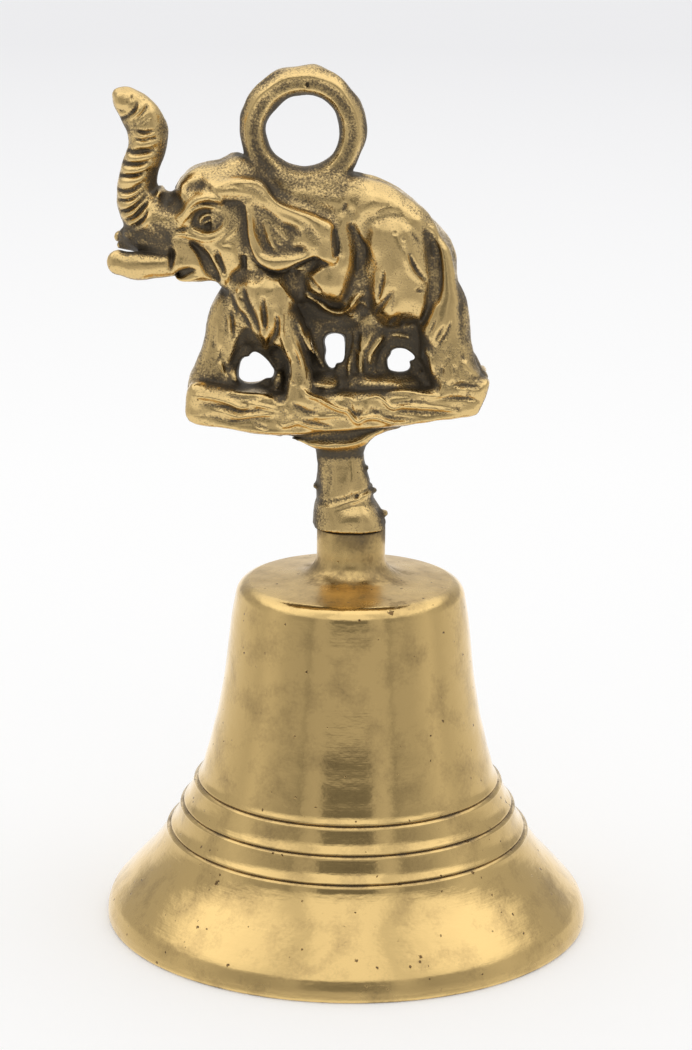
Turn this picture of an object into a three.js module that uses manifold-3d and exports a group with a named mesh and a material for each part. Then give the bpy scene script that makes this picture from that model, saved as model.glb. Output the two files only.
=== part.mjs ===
// A small brass hand bell with a cast elephant for a handle, and a clapper that swings inside it.
// Millimetres, +Z up. The origin is the centre of the plane that the bell's lip rests on.
import * as THREE from "three";
import { mergeVertices } from "three/addons/utils/BufferGeometryUtils.js";
import Module from "manifold-3d";

const wasm = await Module();
wasm.setup();

// ---- Driving dimensions ------------------------------------------------------------------------

const CLEARANCE = 0.3; // gap between pieces that touch on the real bell

// Bell body
const LIP_RADIUS = 38;
const LIP_BAND_TOP = 3.7;
const RIM_RADIUS = 36.6; // outer edge of the flat ring that the bell stands on
const RIM_INNER_RADIUS = 34.6;
const WALL = 2.2;
const CROWN_Z = 54.8;
const CROWN_RADIUS = 17.6;
const CROWN_THICKNESS = 3;
const SHOULDER_FILLET = 1.85;
const NECK_RADIUS = 5.3;
const NECK_FILLET = 2.4;
const NECK_TOP = 63.4;
const BELL_SEGMENTS = 40;

// Hanging hardware inside the bell
const BOLT_RADIUS = 2.4;
const BOLT_BORE = BOLT_RADIUS + CLEARANCE;
const BOLT_TOP = 72.5;
const BOLT_CHAMFER = 0.8;
const EYE_WIRE = 1.1;
const EYE_RADIUS = 3.2; // centre of the ring to the middle of its wire
const EYE_Z = 41;
const WASHER_RADIUS = 6.5;
const WASHER_THICKNESS = 1;
const NUT_RADIUS = 4.6; // across the corners
const NUT_THICKNESS = 4;

// Clapper
const WIRE = 0.9;
const LINK_RADIUS = 4;
const LOOP_RADIUS = 2.6;
const BALL_RADIUS = 6.2;
const BALL_Z = 9.6;
const PEEN_RADIUS = 1.7;
const PEEN_THICKNESS = 1;

// Elephant handle
const SEAT_Z = NECK_TOP + CLEARANCE + 0.1; // the handle's stem stands on the neck
const HANDLE_LEAN = THREE.MathUtils.degToRad(0.46); // the casting leans towards -X
const HANDLE_SHIFT = 0.6;
const STEM_LEAN = 0.12; // sideways run of the stem per millimetre of height, towards -X
const SLAB_HALF_DEPTH = 6.5;
const SLAB_BEVEL = 1.6;
const WEB_HALF_DEPTH = 3;
const WEB_BEVEL = 0.8;
const RING_CENTRE = new THREE.Vector3(-7.6, 0, 125);
const RING_OUTER = 9.65;
const RING_HOLE = 5.45;
const RING_HALF_DEPTH = 2.7;
const EAR_Y = 6.4;
const EAR_THICKNESS = 1.2;
const EAR_BEVEL = 0.6;

// ---- Solids ------------------------------------------------------------------------------------

const MERGE_DISTANCE = 1e-4;

// A closed three.js geometry as a solid that can be joined and cut.
function solid(geometry) {
  const bare = geometry.clone();
  bare.deleteAttribute("normal");
  bare.deleteAttribute("uv");
  const merged = mergeVertices(bare, MERGE_DISTANCE);
  return new wasm.Manifold(
    new wasm.Mesh({
      numProp: 3,
      vertProperties: new Float32Array(merged.attributes.position.array),
      triVerts: new Uint32Array(merged.index.array),
    }),
  );
}

function unite(solids) {
  return solids.reduce((whole, next) => whole.add(next));
}

function cut(whole, tools) {
  return tools.reduce((rest, tool) => rest.subtract(tool), whole);
}

function geometryOf(body) {
  const mesh = body.getMesh();
  const geometry = new THREE.BufferGeometry();
  geometry.setAttribute("position", new THREE.BufferAttribute(mesh.vertProperties, 3));
  geometry.setIndex(new THREE.BufferAttribute(mesh.triVerts, 1));
  geometry.computeVertexNormals();
  return geometry;
}

// A profile of [radius, height] points turned about the Z axis.
function turned(profile, segments) {
  const points = profile.map(([radius, height]) => new THREE.Vector2(radius, height));
  const geometry = new THREE.LatheGeometry(points, segments);
  geometry.rotateX(Math.PI / 2);
  return geometry;
}

// A plain round bar along Z.
function bar(radius, bottom, top, segments = 16) {
  return turned(
    [
      [0, bottom],
      [radius, bottom],
      [radius, top],
      [0, top],
    ],
    segments,
  );
}

// A wire ring whose centre is on the Z axis. It lies in the XZ plane, or turned into the YZ plane.
function wireRing(radius, wire, height, acrossX = false) {
  const ring = new THREE.TorusGeometry(radius, wire, 8, 24);
  ring.rotateX(Math.PI / 2);
  if (acrossX) ring.rotateZ(Math.PI / 2);
  ring.translate(0, 0, height);
  return ring;
}

function ellipsoid([x, y, z], [rx, ry, rz], lean = 0) {
  const ball = new THREE.SphereGeometry(1, 12, 8);
  ball.scale(rx, ry, rz);
  ball.rotateY(lean);
  ball.translate(x, y, z);
  return solid(ball);
}

// A limb: [x, y, z, radius] stations joined by cones, with a ball at each.
function limb(stations, sides = 7) {
  const pieces = stations.map(([x, y, z, radius]) => {
    const ball = new THREE.SphereGeometry(radius, sides, 4);
    ball.translate(x, y, z);
    return solid(ball);
  });
  stations.slice(1).forEach((end, i) => {
    const from = new THREE.Vector3(...stations[i]);
    const to = new THREE.Vector3(...end);
    const along = to.clone().sub(from);
    const cone = new THREE.CylinderGeometry(end[3], stations[i][3], along.length(), sides);
    const turn = new THREE.Quaternion().setFromUnitVectors(
      new THREE.Vector3(0, 1, 0),
      along.normalize(),
    );
    cone.applyQuaternion(turn);
    cone.translate(...from.add(to).multiplyScalar(0.5).toArray());
    pieces.push(solid(cone));
  });
  return unite(pieces);
}

// A closed curve through [x, z] points, as more [x, z] points.
function rounded(points, divisions) {
  const knots = points.map(([x, z]) => new THREE.Vector3(x, z, 0));
  const curve = new THREE.CatmullRomCurve3(knots, true, "centripetal");
  return curve
    .getPoints(divisions)
    .slice(0, -1)
    .map((p) => [p.x, p.y]);
}

// A plate in the XZ plane, from one y to another, with rounded edges that stay inside its outline.
function plate(outline, yLow, yHigh, bevel) {
  const corners = outline.map(([x, z]) => new THREE.Vector2(x, z));
  const geometry = new THREE.ExtrudeGeometry(new THREE.Shape(corners), {
    depth: yHigh - yLow - 2 * bevel,
    steps: 1,
    bevelEnabled: bevel > 0,
    bevelThickness: bevel,
    bevelSize: bevel,
    bevelOffset: -bevel,
    bevelSegments: 2,
  });
  geometry.rotateX(Math.PI / 2);
  geometry.translate(0, yHigh - bevel, 0);
  return solid(geometry);
}

// ---- Bell body ---------------------------------------------------------------------------------

// The waist and flare, [radius, height] from the crown's edge down to the lip's band.
const WAIST = [
  [17.85, 52.7],
  [18.5, 48.5],
  [19.5, 40],
  [21.2, 30.6],
  [23.7, 23.1],
];
const FLARE = [
  [28.7, 14.3],
  [31.1, 10],
  [35.1, 6.3],
  [37.71, LIP_BAND_TOP],
];
const GROOVES = [
  [24.24, 22.54],
  [26.2, 18.64],
  [28.37, 14.76],
]; // the three turned lines, upper to lower
const GROOVE_DEPTH = 0.45;
const GROOVE_HALF_WIDTH = 0.35;
const HOLLOW = [
  [RIM_INNER_RADIUS, 2.4],
  [32.6, 5.6],
  [28.6, 9.2],
  [25.6, 14.2],
  [21.7, 21.6],
  [18.9, 30],
  [17.2, 40],
  [16, 48],
]; // the inside wall, from the lip up

function smooth(points, divisions) {
  const knots = points.map(([radius, height]) => new THREE.Vector2(radius, height));
  return new THREE.SplineCurve(knots).getPoints(divisions).map((p) => [p.x, p.y]);
}

function quarter(centreR, centreZ, radius, from, to, steps = 2) {
  return Array.from({ length: steps + 1 }, (_, i) => {
    const angle = THREE.MathUtils.degToRad(from + ((to - from) * i) / steps);
    return [centreR + radius * Math.cos(angle), centreZ + radius * Math.sin(angle)];
  });
}

function groove([radius, height]) {
  return [
    [radius + GROOVE_HALF_WIDTH * 0.6, height - GROOVE_HALF_WIDTH],
    [radius - GROOVE_DEPTH, height],
    [radius - GROOVE_HALF_WIDTH * 0.3, height + GROOVE_HALF_WIDTH],
  ];
}

function bellBody() {
  const crownUnderside = CROWN_Z - CROWN_THICKNESS;
  const hollowCrown = CROWN_RADIUS - WALL;
  const profile = [
    [RIM_INNER_RADIUS, 0],
    [RIM_RADIUS, 0],
    [37.4, 0.4],
    [LIP_RADIUS, 1.6],
    ...smooth([...FLARE].reverse(), 6),
    ...groove(GROOVES[2]),
    ...groove(GROOVES[1]),
    ...groove(GROOVES[0]),
    ...smooth([...WAIST].reverse(), 5),
    ...quarter(CROWN_RADIUS - SHOULDER_FILLET, CROWN_Z - SHOULDER_FILLET, SHOULDER_FILLET, 15, 90),
    ...quarter(NECK_RADIUS + NECK_FILLET, CROWN_Z + NECK_FILLET, NECK_FILLET, 270, 180),
    [NECK_RADIUS, NECK_TOP],
    [BOLT_BORE, NECK_TOP],
    [BOLT_BORE, crownUnderside],
    ...quarter(hollowCrown - 2, crownUnderside - 2, 2, 90, 0),
    ...smooth([...HOLLOW].reverse(), 8),
    [RIM_INNER_RADIUS, 0],
  ];
  return turned(profile, BELL_SEGMENTS);
}

// ---- Hanging hardware --------------------------------------------------------------------------

const WASHER_TOP = CROWN_Z - CROWN_THICKNESS - CLEARANCE;
const NUT_TOP = WASHER_TOP - WASHER_THICKNESS - CLEARANCE;

function eyebolt() {
  const shank = turned(
    [
      [0, EYE_Z + EYE_RADIUS],
      [BOLT_RADIUS, EYE_Z + EYE_RADIUS + BOLT_CHAMFER],
      [BOLT_RADIUS, BOLT_TOP - BOLT_CHAMFER],
      [BOLT_RADIUS - BOLT_CHAMFER, BOLT_TOP],
      [0, BOLT_TOP],
    ],
    16,
  );
  const eye = wireRing(EYE_RADIUS, EYE_WIRE, EYE_Z);
  return geometryOf(unite([solid(eye), solid(shank)]));
}

function crownWasher() {
  const bottom = WASHER_TOP - WASHER_THICKNESS;
  const profile = [
    [BOLT_BORE, bottom],
    [WASHER_RADIUS, bottom],
    [WASHER_RADIUS, WASHER_TOP],
    [BOLT_BORE, WASHER_TOP],
    [BOLT_BORE, bottom],
  ];
  return turned(profile, 32);
}

function crownNut() {
  const hexagon = bar(NUT_RADIUS, NUT_TOP - NUT_THICKNESS, NUT_TOP, 6);
  const bore = bar(BOLT_BORE, NUT_TOP - NUT_THICKNESS - 1, NUT_TOP + 1, 24);
  return geometryOf(cut(solid(hexagon), [solid(bore)]));
}

// ---- Clapper -----------------------------------------------------------------------------------

// The link's wire rests on the bottom of the eye, and the rod's loop rests on the bottom of the link.
const LINK_PIVOT = EYE_Z - EYE_RADIUS + EYE_WIRE + CLEARANCE + WIRE;
const LINK_Z = LINK_PIVOT - LINK_RADIUS;
const ROD_PIVOT = LINK_Z - LINK_RADIUS + 2 * WIRE + CLEARANCE;
const LOOP_Z = ROD_PIVOT - LOOP_RADIUS;
const PEEN_TOP = BALL_Z - BALL_RADIUS - CLEARANCE;

function clapperLink() {
  return wireRing(LINK_RADIUS, WIRE, LINK_Z, true);
}

function clapperRod() {
  const loop = wireRing(LOOP_RADIUS, WIRE, LOOP_Z);
  const wire = bar(WIRE, PEEN_TOP - PEEN_THICKNESS / 2, LOOP_Z - LOOP_RADIUS, 12);
  const peen = bar(PEEN_RADIUS, PEEN_TOP - PEEN_THICKNESS, PEEN_TOP, 16);
  return geometryOf(unite([solid(loop), solid(wire), solid(peen)]));
}

function clapperBall() {
  const ball = new THREE.SphereGeometry(BALL_RADIUS, 20, 12);
  ball.rotateX(Math.PI / 2);
  ball.translate(0, 0, BALL_Z);
  const bore = bar(WIRE + CLEARANCE, BALL_Z - BALL_RADIUS - 1, BALL_Z + BALL_RADIUS + 1, 12);
  return geometryOf(cut(solid(ball), [solid(bore)]));
}

// ---- Elephant handle ---------------------------------------------------------------------------

// The elephant walks towards -X. Its left side, with the raised relief, faces -Y.
function stem() {
  const column = turned(
    [
      [0, SEAT_Z],
      [5.6, SEAT_Z],
      [5.4, 65.6],
      [4.4, 67.6],
      [4.3, 71.5],
      [3.9, 74.5],
      [4.6, 76.4],
      [0, 76.4],
    ],
    16,
  );
  column.applyMatrix4(new THREE.Matrix4().makeShear(0, 0, 0, 0, -STEM_LEAN, 0));
  column.translate(STEM_LEAN * SEAT_Z, 0, 0);
  const boss = turned(
    [
      [0, 74.6],
      [4.2, 74.6],
      [9.6, 78.8],
      [9.6, 81],
      [0, 81],
    ],
    20,
  );
  boss.scale(1, 0.6, 1);
  boss.translate(-2.6, 0, 0);
  return unite([solid(column), solid(boss)]);
}

function slab() {
  const points = [
    [-24.2, 86.2],
    [-25.4, 82],
    [-24, 79.9],
    [-9, 78],
    [9, 79.6],
    [18.6, 81.2],
    [20.8, 86.2],
    [16, 87],
    [-18, 87],
  ];
  return plate(points, -SLAB_HALF_DEPTH, SLAB_HALF_DEPTH, SLAB_BEVEL);
}

// The thin wall of metal left between the legs, with three openings cast through it.
function legWeb() {
  const web = [
    [-19, 100],
    [-21.6, 92.6],
    [-23.4, 86],
    [-20, 83],
    [17, 84],
    [19.6, 88.6],
    [17.4, 94.6],
    [16.4, 101],
    [0, 103],
  ];
  return plate(web, -WEB_HALF_DEPTH, WEB_HALF_DEPTH, WEB_BEVEL);
}

function legOpenings() {
  const openings = [
    [
      [-15.2, 91.2],
      [-13.9, 91],
      [-12.1, 89],
      [-12.4, 87],
      [-14.4, 86.1],
      [-16.9, 86.3],
      [-17.7, 88.4],
    ],
    [
      [-3.7, 94.1],
      [-1.4, 93.9],
      [-0.9, 91.5],
      [-2.4, 88.6],
      [-3.8, 88.9],
      [-4.7, 92],
    ],
    [
      [6, 91.3],
      [8, 91.7],
      [9.5, 90.5],
      [8.6, 88.4],
      [6.2, 88],
      [5.3, 89.6],
    ],
  ];
  const through = 2 * SLAB_HALF_DEPTH;
  return openings.map((points) => plate(rounded(points, 16), -through, through, 0));
}

function torso() {
  return unite([
    ellipsoid([2.4, 0, 103.8], [14.4, 7.2, 11.8], 0.42),
    ellipsoid([-9, 0, 106], [11, 7, 11]),
    ellipsoid([8.4, -2.4, 101.6], [7.2, 5.4, 8.6]),
    ellipsoid([5.4, 2.4, 101.6], [7.2, 5.4, 8.6]),
    limb([
      [-14, 0, 116.6, 3],
      [-7.6, 0, 117, 3.4],
      [-0.6, 0, 115.8, 3],
    ]),
  ]);
}

function legs() {
  const nearFront = [
    [-11, -2.8, 101, 4.6],
    [-9.4, -3.4, 95, 3],
    [-8.2, -3.6, 90, 2.5],
    [-7.9, -3.6, 85, 2.5],
  ];
  const farFront = [
    [-14.4, 2.6, 101, 4.6],
    [-18, 3.2, 96, 3.2],
    [-19.8, 3.4, 92, 2.8],
    [-20.8, 3.4, 86, 2.8],
  ];
  const nearHind = [
    [10, -2.6, 101, 5],
    [14, -3.4, 95.4, 3.4],
    [14.6, -3.6, 90, 3.3],
    [16, -3.6, 86, 3.4],
  ];
  const farHind = [
    [4, 2.6, 100, 4.4],
    [2.2, 3.4, 95, 2.8],
    [2.8, 3.6, 90, 2.2],
    [1.4, 3.6, 85, 2.4],
  ];
  return unite([nearFront, farFront, nearHind, farHind].map((stations) => limb(stations)));
}

function head() {
  const trunk = [
    [-25, 0, 110, 4.6],
    [-30.6, 0, 110.6, 3.6],
    [-33.1, 0, 113.6, 3.1],
    [-32.9, 0, 117.6, 3],
    [-31.4, 0, 121.6, 2.8],
    [-31.2, 0, 125.2, 2.9],
    [-32.9, 0, 128, 2.5],
    [-34.4, 0, 129.7, 1.4],
  ];
  const nearTusk = [
    [-27, -2.4, 104.8, 1.8],
    [-32, -2.8, 104.4, 1.7],
    [-36.1, -2.6, 105, 1.3],
  ];
  const farTusk = [
    [-27, 2.4, 106.4, 1.8],
    [-32, 2.8, 107.2, 1.4],
    [-35.8, 2.6, 107.9, 1],
  ];
  const jaw = [
    [-25.4, 0, 104.4, 1.9],
    [-20.6, 0, 105.6, 3.4],
    [-16.6, 0, 104, 3.6],
  ];
  const neck = [
    [-19.4, 0, 112.4, 6.6],
    [-10, 0, 109.6, 7],
  ];
  return unite([
    ellipsoid([-20.8, 0, 111.8], [7, 6.2, 8.2]),
    limb(neck, 10),
    limb(jaw),
    limb(trunk),
    limb(nearTusk),
    limb(farTusk),
  ]);
}

function ears() {
  const points = [
    [-19.6, 116.6],
    [-14.9, 117.5],
    [-10.9, 114.8],
    [-5.9, 112.6],
    [-1.9, 109],
    [-3.6, 106.2],
    [-7.9, 105.2],
    [-11.6, 104],
    [-14.6, 105.8],
    [-16.2, 111],
  ];
  const outer = EAR_Y + EAR_THICKNESS + 2 * EAR_BEVEL;
  const root = EAR_Y - 3;
  const ear = rounded(points, 18);
  return unite([plate(ear, -outer, -root, EAR_BEVEL), plate(ear, root, outer, EAR_BEVEL)]);
}

function hangingRing() {
  const wire = (RING_OUTER - RING_HOLE) / 2;
  const ring = new THREE.TorusGeometry(RING_HOLE + wire, wire, 8, 24);
  ring.rotateX(Math.PI / 2);
  ring.scale(1, RING_HALF_DEPTH / wire, 1);
  ring.translate(...RING_CENTRE.toArray());
  return solid(ring);
}

function tail() {
  return limb([
    [12, -4.6, 110, 1.6],
    [14.2, -4.4, 104, 1.6],
    [13.4, -5, 98, 1.8],
    [12.6, -5.4, 94.6, 1.2],
  ]);
}

function elephantHandle() {
  const whole = unite([
    stem(),
    slab(),
    legWeb(),
    torso(),
    legs(),
    head(),
    ears(),
    hangingRing(),
    tail(),
  ]);
  const boltHole = bar(BOLT_BORE, SEAT_Z - 5, BOLT_TOP + CLEARANCE, 16);
  return geometryOf(cut(whole, [...legOpenings(), solid(boltHole)]));
}

// ---- Assembly ----------------------------------------------------------------------------------

function brass(colour, roughness) {
  return new THREE.MeshStandardMaterial({ color: colour, roughness, metalness: 1 });
}

const TURNED_BRASS = brass(0xbf9b5a, 0.3);
const CAST_BRASS = brass(0xa08048, 0.42);
const HARDWARE_BRASS = brass(0xb39255, 0.4);

function piece(name, geometry, material) {
  const mesh = new THREE.Mesh(geometry, material);
  mesh.name = name;
  return mesh;
}

function handBell() {
  const handle = new THREE.Group();
  handle.rotation.y = -HANDLE_LEAN;
  handle.position.x = HANDLE_SHIFT;
  handle.add(piece("elephant_handle", elephantHandle(), CAST_BRASS));

  const bell = new THREE.Group();
  bell.add(
    handle,
    piece("bell_body", bellBody(), TURNED_BRASS),
    piece("eyebolt", eyebolt(), HARDWARE_BRASS),
    piece("crown_washer", crownWasher(), HARDWARE_BRASS),
    piece("crown_nut", crownNut(), HARDWARE_BRASS),
  );
  const clapper = new THREE.Group();
  clapper.add(
    piece("clapper_link", clapperLink(), HARDWARE_BRASS),
    piece("clapper_rod", clapperRod(), HARDWARE_BRASS),
    piece("clapper_ball", clapperBall(), HARDWARE_BRASS),
  );
  bell.add(clapper);
  return bell;
}

export default handBell();
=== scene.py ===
"""Looks of the brass hand bell: a turned bell, a cast elephant for a handle, and the clapper inside.

Lengths in the sculpting and turning code are millimetres, and become metres when a mesh is made.
"""

import math

import bpy
import numpy as np
import openvdb
from mathutils import Matrix


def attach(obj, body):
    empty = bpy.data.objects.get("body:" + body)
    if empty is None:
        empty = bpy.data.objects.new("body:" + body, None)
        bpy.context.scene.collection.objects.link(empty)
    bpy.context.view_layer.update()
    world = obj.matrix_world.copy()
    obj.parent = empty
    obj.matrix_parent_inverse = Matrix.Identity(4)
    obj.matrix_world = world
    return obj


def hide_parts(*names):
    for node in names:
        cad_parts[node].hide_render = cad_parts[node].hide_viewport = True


MM = 0.001
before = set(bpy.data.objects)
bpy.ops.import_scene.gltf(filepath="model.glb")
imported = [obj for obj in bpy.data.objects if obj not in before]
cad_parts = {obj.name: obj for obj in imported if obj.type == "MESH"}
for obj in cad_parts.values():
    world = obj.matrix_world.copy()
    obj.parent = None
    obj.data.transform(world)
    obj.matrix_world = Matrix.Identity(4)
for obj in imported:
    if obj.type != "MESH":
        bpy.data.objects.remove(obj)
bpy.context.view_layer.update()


# ---- Mesh helpers --------------------------------------------------------------------------------

# A shell is (points in millimetres, faces). A piece is one or more shells.


def make_piece(name, shells, material, node, body, smooth=True):
    """An object made of shells, in the given material. It stands for a CAD node, which it hides, and rides on
    a body.
    """
    points, faces = [], []
    for shell_points, shell_faces in shells:
        faces.extend(np.asarray(shell_faces) + len(points))
        points.extend(np.asarray(shell_points, dtype=float))
    mesh = bpy.data.meshes.new(name)
    mesh.from_pydata((np.array(points) * MM).tolist(), [], [face.tolist() for face in faces])
    mesh.update()
    mesh.polygons.foreach_set("use_smooth", [smooth] * len(mesh.polygons))
    mesh.materials.append(material)
    piece = bpy.data.objects.new(name, mesh)
    bpy.context.scene.collection.objects.link(piece)
    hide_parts(node)
    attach(piece, body)
    return piece


def set_vertex_values(piece, values, name="patina_and_shade"):
    """A value for each vertex, such as how far patina, grime and painted shade darken it, from 0 on a
    polished height to 1.
    """
    layer = piece.data.attributes.new(name, "FLOAT", "POINT")
    layer.data.foreach_set("value", np.broadcast_to(values, len(piece.data.vertices)).astype(np.float32))


def grid_faces(rows, columns, wrap_rows=False):
    """Quads over rings of points stored one ring after another."""
    i, j = np.meshgrid(np.arange(rows if wrap_rows else rows - 1), np.arange(columns), indexing="ij")
    k, n = (i + 1) % rows, (j + 1) % columns
    quads = np.stack([i * columns + j, i * columns + n, k * columns + n, k * columns + j], axis=-1)
    return quads.reshape(-1, 4)


def turned(profile, segments):
    """A closed [radius, height] profile turned about the Z axis."""
    profile = np.asarray(profile, dtype=float)
    angles = np.linspace(0, 2 * math.pi, segments, endpoint=False)
    radius, height = profile[:, :1], profile[:, 1:2]
    points = np.stack([radius * np.cos(angles), radius * np.sin(angles), height + 0 * angles], axis=-1)
    return points.reshape(-1, 3), grid_faces(len(profile), segments, wrap_rows=True)


def tube(path, radii, sides=20, closed=False):
    """A round bar along a path. An open one has rounded ends where its radius falls to nothing."""
    path = np.asarray(path, dtype=float)
    radii = np.broadcast_to(radii, len(path))
    if closed:
        tangents = np.roll(path, -1, axis=0) - np.roll(path, 1, axis=0)
    else:
        tangents = np.gradient(path, axis=0)
    tangents /= np.linalg.norm(tangents, axis=1)[:, None]
    across = np.cross(tangents[0], (0.3, 0.5, 0.8))
    rings = []
    for centre, along, radius in zip(path, tangents, radii):
        across = across - along * across.dot(along)
        across /= np.linalg.norm(across)
        up = np.cross(along, across)
        angles = np.linspace(0, 2 * math.pi, sides, endpoint=False)[:, None]
        rings.append(centre + radius * (np.cos(angles) * across + np.sin(angles) * up))
    return np.vstack(rings), grid_faces(len(path), sides, wrap_rows=closed)


def circle(radius, height, across_x=False, start=0.0, sweep=2 * math.pi, steps=64):
    """Points on a circle about the Y axis, or about the X axis, whose centre is on the Z axis."""
    closed = abs(sweep) >= 2 * math.pi
    angles = start + np.linspace(0, sweep, steps, endpoint=not closed)
    side, up = radius * np.sin(angles), height + radius * np.cos(angles)
    flat = np.zeros_like(angles)
    return np.stack([flat, side, up] if across_x else [side, flat, up], axis=-1)


def catmull_rom(points, per_span=8, closed=False):
    """More points on a smooth curve through the given ones."""
    points = np.asarray(points, dtype=float)
    if closed:
        ends = np.vstack([points[-1:], points, points[:2]])
    else:
        ends = np.vstack([2 * points[0] - points[1], points, 2 * points[-1] - points[-2]])
    t = (np.arange(per_span) / per_span)[:, None]
    spans = []
    for a, b, c, d in zip(ends, ends[1:], ends[2:], ends[3:]):
        spans.append(
            0.5 * (2 * b + (c - a) * t + (2 * a - 5 * b + 4 * c - d) * t**2 + (3 * b - a - 3 * c + d) * t**3)
        )
    curve = np.vstack(spans)
    return curve if closed else np.vstack([curve, points[-1:]])


# ---- The elephant, sculpted as a distance field ---------------------------------------------------

FIELD_LOW = (-39.5, -9.5, 62.5)
FIELD_HIGH = (24.0, 9.5, 136.5)
FIELD_STEP = 0.25
FAR = 4.0  # the field holds no distance beyond this
SIDES = (-1, 1)  # the signs of Y on the side that faces the camera and on the far side
GROOVE_DIRT = 0.42

axis_x, axis_y, axis_z = (
    np.arange(low, high, FIELD_STEP, dtype=np.float32) for low, high in zip(FIELD_LOW, FIELD_HIGH)
)
field = np.full((len(axis_x), len(axis_y), len(axis_z)), FAR, dtype=np.float32)
relief = {side: np.zeros((len(axis_x), len(axis_z)), dtype=np.float32) for side in SIDES}
grime_map = np.zeros((len(axis_x), len(axis_z)), dtype=np.float32)


def window(low, high, pad):
    """The grid's slices around a box, and its coordinates there."""
    cuts = tuple(
        slice(np.searchsorted(axis, a - pad), np.searchsorted(axis, b + pad))
        for axis, a, b in zip((axis_x, axis_y, axis_z), low, high)
    )
    x = axis_x[cuts[0]][:, None, None]
    y = axis_y[cuts[1]][None, :, None]
    z = axis_z[cuts[2]][None, None, :]
    return cuts, x, y, z


def smooth_min(a, b, blend):
    """The lower of two distances, with a fillet where they meet."""
    near = np.maximum(blend - np.abs(a - b), 0) / blend
    return np.minimum(a, b) - near * near * blend / 4


def add_shape(distance, low, high, blend):
    """Joins a shape to the field, with a fillet about as wide as blend."""
    cuts, x, y, z = window(low, high, blend + 1)
    field[cuts] = smooth_min(field[cuts], distance(x, y, z), blend)


def outline_distance(points, x, z):
    """Signed distance to a closed outline in the XZ plane, negative inside."""
    squared = np.full(np.broadcast(x, z).shape, 1e9, dtype=np.float32)
    inside = np.zeros(squared.shape, dtype=bool)
    for (ax, az), (bx, bz) in zip(points, np.roll(points, -1, axis=0)):
        ex, ez = bx - ax, bz - az
        along = np.clip(((x - ax) * ex + (z - az) * ez) / (ex * ex + ez * ez), 0, 1)
        squared = np.minimum(squared, (x - ax - ex * along) ** 2 + (z - az - ez * along) ** 2)
        if az != bz:
            inside ^= ((az <= z) != (bz <= z)) & (x < ax + (z - az) * ex / ez)
    return np.where(inside, -1, 1) * np.sqrt(squared)


def box_of(points, depth):
    """The box round an outline, this far to each side of the middle plane."""
    low, high = np.min(points, axis=0), np.max(points, axis=0)
    return (low[0], -depth, low[1]), (high[0], depth, high[1])


def ball(centre, radii, blend=1.5):
    """An ellipsoid."""
    cx, cy, cz = centre
    rx, ry, rz = radii

    def distance(x, y, z):
        u = (x - cx) / rx
        v = (y - cy) / ry
        w = (z - cz) / rz
        k0 = np.sqrt(u * u + v * v + w * w)
        k1 = np.sqrt((u / rx) ** 2 + (v / ry) ** 2 + (w / rz) ** 2) + 1e-6
        return k0 * (k0 - 1) / k1

    reach = max(rx, rz)
    add_shape(distance, (cx - reach, cy - ry, cz - reach), (cx + reach, cy + ry, cz + reach), blend)


def limb(stations, blend=1.0):
    """A tapering limb through (x, y, z, radius) stations."""
    stations = catmull_rom(stations, 4)

    def distance(x, y, z):
        nearest = np.float32(FAR)
        for a, b in zip(stations, stations[1:]):
            along = b[:3] - a[:3]
            px, py, pz = x - a[0], y - a[1], z - a[2]
            t = np.clip((px * along[0] + py * along[1] + pz * along[2]) / along.dot(along), 0, 1)
            away = (px - along[0] * t) ** 2 + (py - along[1] * t) ** 2 + (pz - along[2] * t) ** 2
            nearest = np.minimum(nearest, np.sqrt(away) - (a[3] + (b[3] - a[3]) * t))
        return nearest

    reach = stations[:, 3:].max()
    add_shape(distance, stations.min(axis=0)[:3] - reach, stations.max(axis=0)[:3] + reach, blend)


def prism(outline, half_depth, rounding, blend=1.5, y=0.0):
    """A plate of the given outline, its edges rounded, centred on the plane at y."""
    points = catmull_rom(outline, 3, closed=True)

    def distance(x, depth, z):
        side = outline_distance(points, x, z) + rounding
        face = np.abs(depth - y) - (half_depth - rounding)
        outside = np.sqrt(np.maximum(side, 0) ** 2 + np.maximum(face, 0) ** 2)
        return outside + np.minimum(np.maximum(side, face), 0) - rounding

    low, high = box_of(points, half_depth)
    add_shape(distance, (low[0], low[1] + y, low[2]), (high[0], high[1] + y, high[2]), blend)


def pierce(outline, sight_slope, front):
    """An opening through the casting along a line of sight that falls away from its front face."""
    points = catmull_rom(outline, 4, closed=True)
    low, high = box_of(points, 9)
    cuts, x, y, z = window(low, high, 4)
    hole = outline_distance(points, x, z + sight_slope * (y - front))
    field[cuts] = -smooth_min(-field[cuts], hole, 0.5)


# Lines and patches of relief, in the XZ plane. A height is positive where the metal stands proud.


def add_dirt(i, k, dirt, height, shape):
    """Grime stays in what is sunken, and is polished off what is raised afterwards."""
    if dirt is None:
        dirt = GROOVE_DIRT if height < 0 else 0
    grime_map[i, k] = np.maximum(grime_map[i, k], dirt * shape)
    if height > 0:
        grime_map[i, k] *= 1 - min(height / 0.5, 1) * 0.7 * shape


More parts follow.
